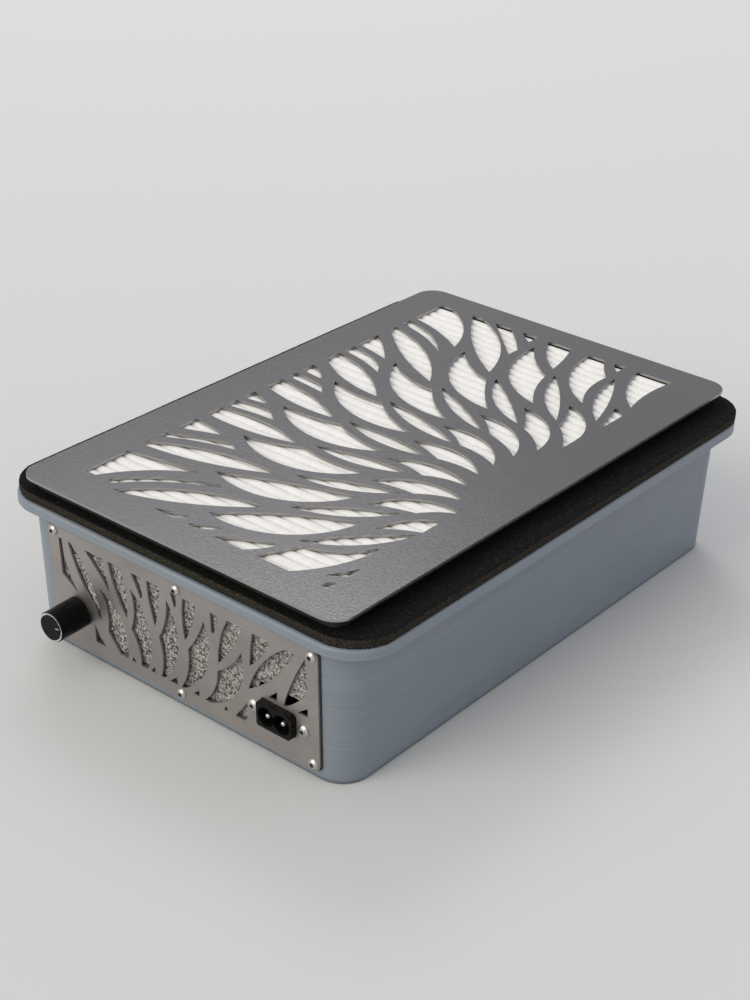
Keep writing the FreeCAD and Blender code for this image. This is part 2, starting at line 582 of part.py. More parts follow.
def make_filter_media():
    """One sheet of filter paper in upright pleats across the frame: wide round crests, narrow valleys."""
    half = dims.paper / 2
    crest = dims.crest_radius
    valley = dims.pleat_pitch / 2 - crest
    start = -dims.pleat_count * dims.pleat_pitch / 2
    upper = []
    lower = []
    for index in range(int(dims.pleat_count)):
        left = start + index * dims.pleat_pitch
        folds = [
            (left + crest, media_top - half - crest, crest, 1),
            (left + 2 * crest + valley, media_low + half + valley, valley, -1),
        ]
        for middle, level, fold, way in folds:
            for rail, side in ((upper, 1), (lower, -1)):
                reach = fold + side * way * half
                begin = Vector(middle - reach, 0, level)
                finish = Vector(middle + reach, 0, level)
                rail.append((begin, Vector(middle, 0, level + way * reach), finish))
    edges = []
    for rail in (upper, lower):
        for index, (begin, via, finish) in enumerate(rail):
            edges.append(Part.Arc(begin, via, finish).toShape())
            if index + 1 < len(rail):
                edges.append(Part.LineSegment(finish, rail[index + 1][0]).toShape())
    edges.append(Part.LineSegment(upper[0][0], lower[0][0]).toShape())
    edges.append(Part.LineSegment(upper[-1][2], lower[-1][2]).toShape())
    wire = Part.Wire(Part.__sortEdges__(edges))
    width = dims.frame_width - 2 * dims.frame_wall
    media = document.addObject("Part::Feature", "filter_media")
    media.Shape = Part.Face(wire).extrude(Vector(0, width, 0))
    media.Placement = at(0, -width / 2, 0)
    keep(media, "filter_media")


def make_filter_sealant():
    """A bead of sealant at each end of the pleats."""
    inner = (dims.frame_length - 2 * dims.frame_wall) / 2
    long = dims.frame_width - 2 * dims.frame_wall - 4
    bead = inner - dims.pleat_count * dims.pleat_pitch / 2 - dims.bead_gap
    places = [at(-inner, -long / 2, media_low), at(inner - bead, -long / 2, media_low)]
    pieces = [
        block(f"bead_{index}", (str(bead), str(long), "dims.bead_height"), place)
        for index, place in enumerate(places)
    ]
    group("filter_sealant", pieces)


def make_filter_magnets():
    pieces = [
        rod(f"magnet_{index}", "dims.magnet_radius", "dims.magnet_thickness",
            at(x, y, rim_top - dims.magnet_thickness))
        for index, (x, y) in enumerate(magnet_places())
    ]
    group("filter_magnets", pieces)


# ---- grille -------------------------------------------------------------------------------------------

def make_grille_plate():
    """The flat steel top, cut through with leaves that fan out from the middle of the front edge."""
    body = new_body("grille_plate", at(0, 0, rim_top))
    edge = new_sketch(body, "grille_edge")
    rounded_rectangle(edge, "dims.grille_length", "dims.grille_width", "dims.grille_corner")
    pad(body, edge, "dims.grille_thickness")
    leaves = new_sketch(body, "grille_leaves", offset="dims.grille_thickness")
    for leaf in GRILLE_LEAVES:
        chain(leaves, leaf)
    pocket(body, leaves, "dims.grille_thickness")


def make_grille_studs():
    """Short studs under the grille's corners that find their seats in the filter's rim."""
    pieces = [
        rod(f"stud_{index}", "dims.stud_radius", "dims.stud_length", at(x, y, rim_top - dims.stud_length))
        for index, (x, y) in enumerate(stud_places())
    ]
    group("grille_studs", pieces)


# ---- vent panel ---------------------------------------------------------------------------------------

def make_vent_panel():
    """The thin steel panel with its vent leaves and the holes for the screws, inlet and knob."""
    body = new_body("vent_panel", END_WALL * at(0, 0, panel_face))
    edge = new_sketch(body, "panel_edge")
    rounded_rectangle(edge, "dims.panel_length", "dims.panel_height", "dims.panel_corner",
                      (dims.panel_shift, panel_middle))
    pad(body, edge, "dims.panel_thickness")
    leaves = new_sketch(body, "panel_leaves")
    for leaf in PANEL_LEAVES:
        chain(leaves, leaf, mirror=-1)
    pocket(body, leaves, "dims.panel_thickness", reversed_way=True)
    holes = new_sketch(body, "panel_holes")
    circles(holes, panel_screw_places(), dims.screw_radius + dims.screw_clearance)
    circles(holes, inlet_screw_places(), dims.screw_radius + dims.screw_clearance)
    circles(holes, [(dims.knob_y, dims.knob_height)], dims.bushing_radius + 0.2)
    pocket(body, holes, "dims.panel_thickness", reversed_way=True)
    inlet = new_sketch(body, "panel_inlet")
    inlet_outline(inlet, 0.2)
    pocket(body, inlet, "dims.panel_thickness", reversed_way=True)


def make_panel_gasket():
    """A thin black seal between the panel and the wall, a little wider than the panel."""
    body = new_body("panel_gasket", END_WALL * at(0, 0, panel_back))
    edge = new_sketch(body, "gasket_edge")
    rounded_rectangle(edge, "dims.panel_length + 1", "dims.panel_height + 0.6", "dims.panel_corner",
                      (dims.panel_shift, panel_middle))
    pad(body, edge, "dims.gasket_thickness")
    mouth = new_sketch(body, "gasket_mouth")
    rounded_rectangle(mouth, "dims.window_length", "dims.window_height", "dims.window_corner",
                      (dims.panel_shift, window_middle))
    pocket(body, mouth, "dims.gasket_thickness", reversed_way=True)
    holes = new_sketch(body, "gasket_holes")
    circles(holes, panel_screw_places(), dims.screw_radius + dims.screw_clearance)
    pocket(body, holes, "dims.gasket_thickness", reversed_way=True)


def make_panel_screws():
    reach = dims.insert_length - panel_face - 0.4
    places = [outward(on_wall(y, up, panel_face)) for y, up in panel_screw_places()]
    shape_group("panel_screws", button_screw(reach, dims.head_radius), places)


def make_panel_inserts():
    pieces = [
        tube(f"insert_{index}", "dims.insert_radius", "dims.screw_radius", "dims.insert_length",
             on_wall(y, up, 0))
        for index, (y, up) in enumerate(panel_screw_places())
    ]
    group("panel_inserts", pieces)


def make_exhaust_foam():
    """A silencing pad that fills the window, cut away round the inlet and the potentiometer.

    Beside the fan deck and the filter only a thin lip of it stands in the wall's window.
    """
    body = new_body("exhaust_foam", on_wall(0, 0, 0))
    reach = dims.window_length / 2 - dims.pad_gap
    left, right = dims.panel_shift - reach, dims.panel_shift + reach
    low = dims.window_bottom + dims.pad_gap
    high = dims.window_bottom + dims.window_height - dims.pad_gap
    notch = left + dims.pad_notch_length
    notch_level = dims.pad_notch_level
    upper_notch = left + dims.pad_notch_top_length
    trim = dims.pad_corner
    sheet = new_sketch(body, "foam_sheet")
    polygon(sheet, [
        (left, dims.pad_notch_top), (upper_notch, dims.pad_notch_top), (upper_notch, notch_level),
        (notch, notch_level), (notch, low), (right - trim, low), (right, low + trim),
        (right, high - trim), (right - trim, high), (left + trim, high), (left, high - trim),
    ])
    pad(body, sheet, "dims.pad_thickness")
    step = new_sketch(body, "foam_step", offset="dims.pad_lip")
    polygon(step, [
        (left - 1, dims.pad_step), (right + 1, dims.pad_step), (right + 1, high + 1), (left - 1, high + 1),
    ])
    pocket(body, step, "dims.pad_thickness - dims.pad_lip", reversed_way=True)
    hole = new_sketch(body, "foam_hole")
    circles(hole, [(dims.knob_y, dims.knob_height)], dims.pot_radius + dims.pad_gap)
    pocket(body, hole, "dims.pad_thickness", reversed_way=True)


# ---- power inlet --------------------------------------------------------------------------------------

def inlet_outline(sketch, grow):
    """The inlet's face: a long rectangle with its corners cut, more on the -Y side than on the +Y side."""
    half_x = dims.inlet_length / 2 + grow
    half_y = dims.inlet_width / 2 + grow
    big, small = 1.6, 0.9
    corners = [
        (-half_x + big, -half_y), (half_x - small, -half_y), (half_x, -half_y + small),
        (half_x, half_y - small), (half_x - small, half_y), (-half_x + big, half_y),
        (-half_x, half_y - big), (-half_x, -half_y + big),
    ]
    polygon(sketch, [(dims.inlet_y + x, dims.inlet_height + y) for x, y in corners])


def inlet_screw_places():
    return [(dims.inlet_y + side * dims.inlet_screw_pitch / 2, dims.inlet_height) for side in (-1, 1)]


def pin_places():
    return [(dims.inlet_y + side * dims.pin_pitch / 2, dims.inlet_height) for side in (-1, 1)]


def figure_eight(sketch, radius):
    """Two circles that run into each other, drawn as one closed line."""
    half = dims.pin_pitch / 2
    waist = math.sqrt(radius ** 2 - half ** 2)
    middle_y, middle_z = dims.inlet_y, dims.inlet_height
    chain(sketch, [
        (middle_y, middle_z - waist), (middle_y + half + radius, middle_z), (middle_y, middle_z + waist),
        (middle_y - half - radius, middle_z),
    ])


def make_inlet_housing():
    """The black inlet: a nose through the panel, a flange behind it and a socket with room for two pins."""
    front = panel_face - dims.inlet_proud
    flange_back = panel_back + dims.inlet_flange_thickness
    block_depth = 12.0
    middle = (dims.inlet_y, dims.inlet_height)
    body = new_body("inlet_housing", on_wall(0, 0, 0))
    flange = new_sketch(body, "inlet_flange", offset=str(panel_back))
    rounded_rectangle(flange, "dims.inlet_flange_length", "dims.inlet_flange_width", "3", middle)
    pad(body, flange, "dims.inlet_flange_thickness")
    nose = new_sketch(body, "inlet_nose", offset=str(front))
    inlet_outline(nose, 0.0)
    pad(body, nose, str(panel_back - front))
    back = new_sketch(body, "inlet_back", offset=str(flange_back - 0.1))
    rounded_rectangle(back, "17", "10", "1.5", middle)
    pad(body, back, str(block_depth))
    socket = new_sketch(body, "inlet_socket", offset=str(front))
    figure_eight(socket, dims.socket_radius)
    pocket(body, socket, str(block_depth + 1.5), reversed_way=True)
    holes = new_sketch(body, "inlet_pin_holes", offset=str(front))
    circles(holes, pin_places(), dims.pin_radius)
    pocket(body, holes, str(2 * block_depth), reversed_way=True)
    screws = new_sketch(body, "inlet_screw_holes", offset=str(panel_back))
    circles(screws, inlet_screw_places(), dims.screw_radius + dims.screw_clearance)
    pocket(body, screws, "dims.inlet_flange_thickness + 0.5", reversed_way=True)


def make_inlet_pins():
    """Two round contact pins with domed tips that stand in the socket, short of the inlet's face."""
    length = dims.pin_length
    radius = dims.pin_radius
    slope = math.pi / 4
    edge = [Vector(0, 0, 0), Vector(0, 0, length), Vector(radius, 0, length), Vector(radius, 0, radius)]
    sides = [Part.LineSegment(edge[index], edge[index + 1]).toShape() for index in range(3)]
    shoulder = Vector(radius * math.sin(slope), 0, radius * (1 - math.cos(slope)))
    tip = Part.Arc(edge[3], shoulder, edge[0]).toShape()
    solid = Part.Face(Part.Wire(sides + [tip])).revolve(Vector(0, 0, 0), Vector(0, 0, 1), 360)
    tip_depth = panel_face - dims.pin_proud
    shape_group("inlet_pins", solid, [on_wall(y, up, tip_depth) for y, up in pin_places()])


def make_inlet_fasteners():
    """Two screws through the inlet's flange, each with a nut behind it."""
    shank, nut_width, nut_height = 6.2, 5.0, 2.0
    places = [outward(on_wall(y, up, panel_face)) for y, up in inlet_screw_places()]
    shape_group("inlet_screws", button_screw(shank, dims.inlet_head_radius), places)
    nut = hexagon_prism(nut_width, nut_height).cut(Part.makeCylinder(dims.screw_radius, nut_height))
    flange_back = panel_back + dims.inlet_flange_thickness
    shape_group("inlet_nuts", nut, [on_wall(y, up, flange_back) for y, up in inlet_screw_places()])


# ---- speed knob ---------------------------------------------------------------------------------------

def knob_frame():
    """The potentiometer's axis: Z points out of the tub, and height 0 is the panel's face."""
    return outward(on_wall(dims.knob_y, dims.knob_height, panel_face))


def knob_levels():
    """The knob's top, and the outer and inner radius of the bright ring round its raised cap."""
    outer = dims.knob_radius - dims.ring_inset
    return KNOB_BASE + dims.knob_length, outer, outer - dims.ring_width


def make_control_knob():
    """A slim glossy knob, hollow below for the nut, with a groove for its bright ring and its pointer."""
    radius = dims.knob_radius
    top, ring_outer, ring_inner = knob_levels()
    shoulder = top - dims.cap_rise
    ring_floor = shoulder - dims.ring_depth
    nut_room = 4.0
    bush_radius, bush_room = dims.bushing_radius + 0.8, dims.bushing_length + 0.6
    skirt = dims.washer_radius + 0.2
    bore_end = dims.spindle_length - dims.pot_depth + 0.5
    knob = turned("control_knob", outline(
        (skirt, KNOB_BASE), (radius, KNOB_BASE), (radius, shoulder - dims.ring_inset),
        (ring_outer, shoulder), (ring_outer, ring_floor), (ring_inner, ring_floor), (ring_inner, top),
        (0, top), (0, bore_end), (dims.spindle_radius, bore_end), (dims.spindle_radius, bush_room),
        (bush_radius, bush_room), (bush_radius, nut_room), (skirt, nut_room),
    ), knob_frame())
    groove = new_sketch(knob, "pointer_groove", offset=str(top))
    pointer_outline(groove)
    pocket(knob, groove, "dims.pointer_depth")


def pointer_outline(sketch):
    """A short bar near the knob's edge, at the angle that the knob is left at."""
    turn = math.radians(POINTER_ANGLE)
    along = Vector(math.cos(turn), math.sin(turn), 0)
    across = Vector(-math.sin(turn), math.cos(turn), 0) * (dims.pointer_width / 2)
    near, far = 3.6, 5.9
    corners = [along * near - across, along * far - across, along * far + across, along * near + across]
    polygon(sketch, [(corner.x, corner.y) for corner in corners])


def make_knob_trim():
    """The bright ring round the knob's top and the pale pointer in its groove."""
    top, ring_outer, ring_inner = knob_levels()
    high = top - dims.cap_rise
    low = high - dims.ring_depth
    turned("knob_ring", outline((ring_inner, low), (ring_outer, low), (ring_outer, high), (ring_inner, high)),
           knob_frame())
    pointer = new_body("knob_pointer", knob_frame() * at(0, 0, top - dims.pointer_depth))
    sketch = new_sketch(pointer, "pointer_bar")
    pointer_outline(sketch)
    pad(pointer, sketch, "dims.pointer_depth")


def make_potentiometer():
    """The control behind the knob: a can with a threaded bushing, and the spindle that the knob turns."""
    bore = dims.spindle_radius + dims.running_gap
    can_back = -dims.pot_depth - 1
    can_front = -dims.panel_thickness
    turned("pot_body", outline(
        (bore, can_back), (dims.pot_radius, can_back), (dims.pot_radius, can_front),
        (dims.bushing_radius, can_front), (dims.bushing_radius, dims.bushing_length),
        (bore, dims.bushing_length),
    ), knob_frame())
    spindle = rod("pot_spindle", "dims.spindle_radius", "dims.spindle_length",
                  knob_frame() * at(0, 0, -dims.pot_depth))
    keep(spindle, "pot_spindle")
    washer = tube("pot_washer", "dims.washer_radius", "dims.bushing_radius", "dims.washer_thickness",
                  knob_frame())
    keep(washer, "pot_washer")
    thread = Part.makeCylinder(dims.bushing_radius, dims.nut_height)
    nut = hexagon_prism(dims.nut_width, dims.nut_height).cut(thread)
    shape_group("pot_nut", nut, [knob_frame() * at(0, 0, dims.washer_thickness)])


# ---- fan deck and air path ----------------------------------------------------------------------------

def make_fan_deck():
    """The plate between the filter and the fan, with a round inlet over the impeller's eye."""
    body = new_body("fan_deck", at(0, 0, dims.deck_level))
    spread = "2 * (dims.deck_level - dims.floor) * tan(dims.draft * 1 deg)"
    shrink = f"2 * dims.wall + 2 * dims.deck_gap - {spread}"
    sheet = new_sketch(body, "deck_sheet")
    rounded_rectangle(sheet, f"dims.body_length - ({shrink})", f"dims.body_width - ({shrink})",
                      "dims.body_corner - dims.wall")
    pad(body, sheet, "dims.deck_thickness")
    eye = new_sketch(body, "deck_eye")
    circles(eye, [(dims.fan_x, 0)], dims.eye_radius)
    circles(eye, corners_of(dims.post_x, dims.post_y), dims.screw_radius + dims.screw_clearance)
    pocket(body, eye, "dims.deck_thickness", reversed_way=True)


def make_deck_screws():
    level = dims.deck_level + dims.deck_thickness
    places = [at(x, y, level) for x, y in corners_of(dims.post_x, dims.post_y)]
    shape_group("deck_screws", button_screw(dims.deck_thickness + 10.0, dims.head_radius), places)


def make_inlet_ring():
    """A bell-mouth that leads the air from the deck into the impeller's eye."""
    lip = dims.eye_radius
    outer = lip + 4.0
    throat = lip - 2.6
    sleeve = throat + 1.2
    top = dims.deck_level
    under = top - 1.4
    foot = top - 5.0
    turned("bellmouth_ring", [
        (throat, foot), None, (sleeve, foot), None, (sleeve, under), None, (outer, under), None,
        (outer, top), None, (lip, top), (lip - 1.9, under), (throat, foot + 1.6), None,
    ], on_fan_axis(0))


def make_fan_scroll():
    """A round wall on the far side of the impeller that turns the air towards the vents."""
    radius = dims.scroll_radius
    outer = radius + dims.scroll_thickness
    spread = math.radians(100)
    tall = dims.deck_level - dims.floor
    body = new_body("fan_scroll", on_fan_axis(dims.floor))
    sketch = new_sketch(body, "scroll_line")
    side_x, side_y = math.cos(spread), math.sin(spread)
    chain(sketch, [
        (outer * side_x, -outer * side_y), (outer, 0), (outer * side_x, outer * side_y), None,
        (radius * side_x, radius * side_y), (radius, 0), (radius * side_x, -radius * side_y), None,
    ])
    pad(body, sketch, str(tall - 0.05))


# ---- impeller and motor -------------------------------------------------------------------------------

def make_impeller():
    """The fan wheel: a disc with a cap over the rotor, backward-curved blades and a shroud ring."""
    low = dims.impeller_bottom
    disc = low + dims.disc_thickness
    cup = dims.cup_radius
    cap = dims.cup_bottom + dims.cup_height
    axis = on_fan_axis(0)
    skin = dims.cap_thickness
    turned("impeller_disc", outline(
        (cup, low), (dims.fan_radius, low), (dims.fan_radius, disc), (cup + skin, disc),
        (cup + skin, cap + skin), (dims.shaft_radius, cap + skin), (dims.shaft_radius, cap), (cup, cap),
    ), axis)
    under = dims.impeller_top - dims.disc_thickness
    turned("impeller_shroud", outline(
        (dims.eye_radius, under), (dims.fan_radius, under), (dims.fan_radius, dims.impeller_top),
        (dims.eye_radius, dims.impeller_top),
    ), axis)
    make_blades(disc, under)


def make_blades(low, high):
    """One blade is a thin curved strip; the wheel carries a ring of them."""
    inner, outer = dims.eye_radius + 1, dims.fan_radius - 1
    sweep = math.radians(40)
    thick = 1.6
    bulge = math.radians(22)
    middle_radius = (inner + outer) / 2
    front_points = [
        Vector(inner, 0, low),
        Vector(middle_radius * math.cos(bulge), -middle_radius * math.sin(bulge), low),
        Vector(outer * math.cos(sweep), -outer * math.sin(sweep), low),
    ]
    bend = Part.Circle(*front_points)
    centre = bend.Center
    grow = (bend.Radius + thick) / bend.Radius
    back_points = [centre + (point - centre) * grow for point in front_points]
    front = Part.Arc(*front_points).toShape()
    back = Part.Arc(*back_points).toShape()
    caps = [
        Part.LineSegment(front_points[0], back_points[0]).toShape(),
        Part.LineSegment(front_points[2], back_points[2]).toShape(),
    ]
    wire = Part.Wire(Part.__sortEdges__([front, back] + caps))
    blade = Part.Face(wire).extrude(Vector(0, 0, high - low))
    count = int(dims.blade_count)
    places = [on_fan_axis(0, 360 * index / count) for index in range(count)]
    shape_group("impeller_blades", blade, places)


def make_rotor():
    """The outer-rotor motor's turning half: a steel cup lined with magnets, on the shaft."""
    cup = dims.cup_radius
    low = dims.cup_bottom
    top = low + dims.cup_height
    lining = cup - dims.cup_wall
    roof = top - dims.cup_roof
    turned("rotor_cup", outline(
        (lining, low), (cup, low), (cup, top), (dims.shaft_radius, top), (dims.shaft_radius, roof),
        (lining, roof),
    ), on_fan_axis(0))
    magnet_thickness, magnet_height, magnet_lift = 3.0, 14.0, 2.0
    magnets = tube("rotor_magnets", str(lining), str(lining - magnet_thickness), str(magnet_height),
                   on_fan_axis(low + magnet_lift))
    keep(magnets, "rotor_magnets")
    shaft_foot = 12.0
    keep(rod("rotor_shaft", "dims.shaft_radius", "dims.shaft_length", on_fan_axis(shaft_foot)), "rotor_shaft")
    nut_width, nut_height = 7.0, 2.4
    nut = hexagon_prism(nut_width, nut_height).cut(Part.makeCylinder(dims.shaft_radius, nut_height))
    shape_group("shaft_nut", nut, [on_fan_axis(top + dims.cap_thickness)])


def make_motor_frame():
    """The bracket plate with the tube that holds the bearings."""
    body = new_body("motor_bracket", on_fan_axis(dims.bracket_level))
    plate = new_sketch(body, "bracket_plate")
    rounded_rectangle(plate, "dims.bracket_size", "dims.bracket_size", "10")
    pad(body, plate, "dims.bracket_thickness")
    stem = new_sketch(body, "bracket_stem", offset="dims.bracket_thickness")
    circles(stem, [(0, 0)], dims.tube_radius)
    pad(body, stem, "dims.tube_length")
    bore = new_sketch(body, "bracket_bore", offset="dims.bracket_thickness + dims.tube_length")
    circles(bore, [(0, 0)], dims.bearing_radius)
    pocket(body, bore, "dims.tube_length + 0.5")
    holes = new_sketch(body, "bracket_holes", offset="dims.bracket_thickness")
    half = dims.mount_pitch / 2
    circles(holes, corners_of(half, half), dims.screw_radius + dims.screw_clearance)
    pocket(body, holes, "dims.bracket_thickness")


def make_bearings():
    bore = dims.shaft_radius + dims.running_gap
    levels = (11.5, 27.0)
    pieces = [
        tube(f"bearing_{index}", "dims.bearing_radius", str(bore), "dims.bearing_height", on_fan_axis(level))
        for index, level in enumerate(levels)
    ]
    group("motor_bearings", pieces)


def make_stator():
    """Nine wound teeth round the bearing tube."""
    low, tall = 16.0, 10.0
    teeth = 9
    hub_radius, tooth_root, tooth_end, tooth_width = 11.0, 10.0, 24.5, 3.0
    coil_start, coil_length, coil_width, coil_overhang = 13.5, 9.0, 6.4, 1.5
    ring = Part.makeCylinder(hub_radius, tall, Vector(0, 0, low))
    tooth = Part.makeBox(tooth_end - tooth_root, tooth_width, tall, Vector(tooth_root, -tooth_width / 2, low))
    for index in range(teeth):
        copy = tooth.copy()
        copy.rotate(Vector(0, 0, 0), Vector(0, 0, 1), 360 * index / teeth)
        ring = ring.fuse(copy)
    ring = ring.cut(Part.makeCylinder(dims.tube_radius, tall, Vector(0, 0, low)))
    shape_group("stator_core", ring, [on_fan_axis(0)])
    coil = Part.makeBox(coil_length, coil_width, tall + 2 * coil_overhang,
                        Vector(coil_start, -coil_width / 2, low - coil_overhang))
    coil = coil.cut(tooth)
    places = [on_fan_axis(0, 360 * index / teeth) for index in range(teeth)]
    shape_group("stator_coils", coil, places)


def make_motor_mounts():
    """Rubber washers under the bracket's corners, and the screws that go through them."""
    half = dims.mount_pitch / 2
    spots = [(dims.fan_x + x, y) for x, y in corners_of(half, half)]
    foot = dims.bracket_level - dims.mount_height
    pieces = [
        tube(f"mount_{index}", "dims.mount_radius", "dims.screw_radius + 0.4", "dims.mount_height",
             at(x, y, foot))
        for index, (x, y) in enumerate(spots)
    ]
    group("motor_mounts", pieces)
    reach = dims.bracket_thickness + dims.mount_height + 3.5
    places = [at(x, y, dims.bracket_level + dims.bracket_thickness) for x, y in spots]
    shape_group("motor_screws", button_screw(reach, dims.head_radius), places)


# ---- control board ------------------------------------------------------------------------------------

def make_control_board():
    """The speed controller: a board on four spacers with its switch, capacitor and terminals."""
    x, y = dims.board_x, dims.board_y
    half_x, half_y = dims.board_length / 2, dims.board_width / 2
    feet = [(x + side_x, y + side_y) for side_x, side_y in corners_of(half_x - 4, half_y - 4)]
    body = new_body("control_board", at(x, y, dims.board_level))
    sheet = new_sketch(body, "board_sheet")
    rounded_rectangle(sheet, "dims.board_length", "dims.board_width", "2")
    pad(body, sheet, "dims.board_thickness")
    holes = new_sketch(body, "board_holes")
    circles(holes, corners_of(half_x - 4, half_y - 4), dims.screw_radius + dims.screw_clearance)
    pocket(body, holes, "dims.board_thickness", reversed_way=True)
    spacer_height = "dims.board_level - dims.floor"
    spacers = [
        tube(f"spacer_{index}", "3", "dims.screw_radius", spacer_height, at(px, py, dims.floor))
        for index, (px, py) in enumerate(feet)
    ]
    group("board_spacers", spacers)
    top = dims.board_level + dims.board_thickness
    places = [at(px, py, top) for px, py in feet]
    shape_group("board_screws", button_screw(6.5, dims.head_radius), places)
    make_board_parts(x, y, top)


def make_board_parts(x, y, top):
    """A finned heat sink, the power switch that it cools, a capacitor and the terminals for the leads."""
    fin_count, fin_thickness, fin_pitch, fin_height = 5, 1.2, 3.0, 12.0
    base_length, base_height, sink_width, sink_y = 14.4, 3.0, 16.0, y - 18
    fin_sizes = (str(fin_thickness), str(sink_width), str(fin_height))
    fins = [
        block(f"fin_{index}", fin_sizes, at(x + 0.5 + fin_pitch * index, sink_y, top + base_height))
        for index in range(fin_count)
    ]
    base = block("fin_base", (str(base_length), str(sink_width), str(base_height)), at(x - 0.1, sink_y, top))
    sink = document.addObject("Part::MultiFuse", "heat_sink")
    sink.Shapes = [base] + fins
    keep(sink, "heat_sink")
    keep(block("power_switch", ("10", "4.5", "15"), at(x + 4, y - 1.9, top)), "power_switch")
    keep(rod("capacitor", "5", "18", at(x - 6, y + 14, top)), "capacitor")
    keep(block("terminal_block", ("8", "20", "10"), at(x - 18, y - 12, top)), "terminal_block")


# ---- checking and writing -----------------------------------------------------------------------------

def check_and_write():
    """Stop on any failed object, then write one file for each node."""
    document.recompute()
    for item in document.Objects:
        if "Invalid" in item.State or "Error" in item.State:
            raise RuntimeError(f"{item.Label} failed: {item.State}")
    os.makedirs("parts", exist_ok=True)
    for node in nodes:
        if node.Shape.isNull() or not node.Shape.isValid():
            raise RuntimeError(f"{node.Label} has no valid shape")
        node.Shape.exportStep(os.path.join("parts", f"{node.Label}.step"))
        box = node.Shape.BoundBox
        print(f"{node.Label:18s} solids {len(node.Shape.Solids):3d}  volume {node.Shape.Volume:10.1f}"
              f"  x {box.XMin:7.1f} {box.XMax:7.1f}  y {box.YMin:7.1f} {box.YMax:7.1f}"
              f"  z {box.ZMin:6.1f} {box.ZMax:6.1f}")


make_body_shell()
make_foam_gasket()
make_filter_frame()
make_filter_media()
make_filter_sealant()
make_filter_magnets()
make_grille_plate()
make_grille_studs()
make_vent_panel()
make_panel_gasket()
make_panel_screws()
make_panel_inserts()
make_exhaust_foam()
make_inlet_housing()
make_inlet_pins()
make_inlet_fasteners()
make_control_knob()
make_knob_trim()
make_potentiometer()
make_fan_deck()
make_deck_screws()
make_inlet_ring()
make_fan_scroll()
make_impeller()
make_rotor()
make_motor_frame()
make_bearings()
make_stator()
make_motor_mounts()
make_control_board()
check_and_write()
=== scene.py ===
"""Looks for the nail dust collector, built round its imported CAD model.

Metres, in the CAD model's own frame: X along the long side, Z up, the vent panel on the -X end.
"""

import json
import math

import bpy
from mathutils import Matrix, Vector, noise


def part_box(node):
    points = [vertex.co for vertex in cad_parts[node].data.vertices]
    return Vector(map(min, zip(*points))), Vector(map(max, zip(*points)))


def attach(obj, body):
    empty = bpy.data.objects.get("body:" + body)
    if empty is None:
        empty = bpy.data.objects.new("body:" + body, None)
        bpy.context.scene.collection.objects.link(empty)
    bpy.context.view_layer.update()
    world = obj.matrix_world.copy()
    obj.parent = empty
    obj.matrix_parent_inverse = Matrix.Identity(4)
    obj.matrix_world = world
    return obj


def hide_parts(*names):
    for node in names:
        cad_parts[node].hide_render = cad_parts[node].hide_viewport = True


MM = 0.001

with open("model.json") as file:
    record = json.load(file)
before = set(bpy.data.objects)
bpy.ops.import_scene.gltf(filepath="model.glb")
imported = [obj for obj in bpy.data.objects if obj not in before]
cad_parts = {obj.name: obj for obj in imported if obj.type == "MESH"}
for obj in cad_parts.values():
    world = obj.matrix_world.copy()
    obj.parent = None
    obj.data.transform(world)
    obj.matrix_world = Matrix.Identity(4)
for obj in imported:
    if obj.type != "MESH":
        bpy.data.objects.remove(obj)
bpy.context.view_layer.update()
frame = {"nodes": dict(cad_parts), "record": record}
nodes = frame["nodes"]


# ---- shader helpers -----------------------------------------------------------------------------------

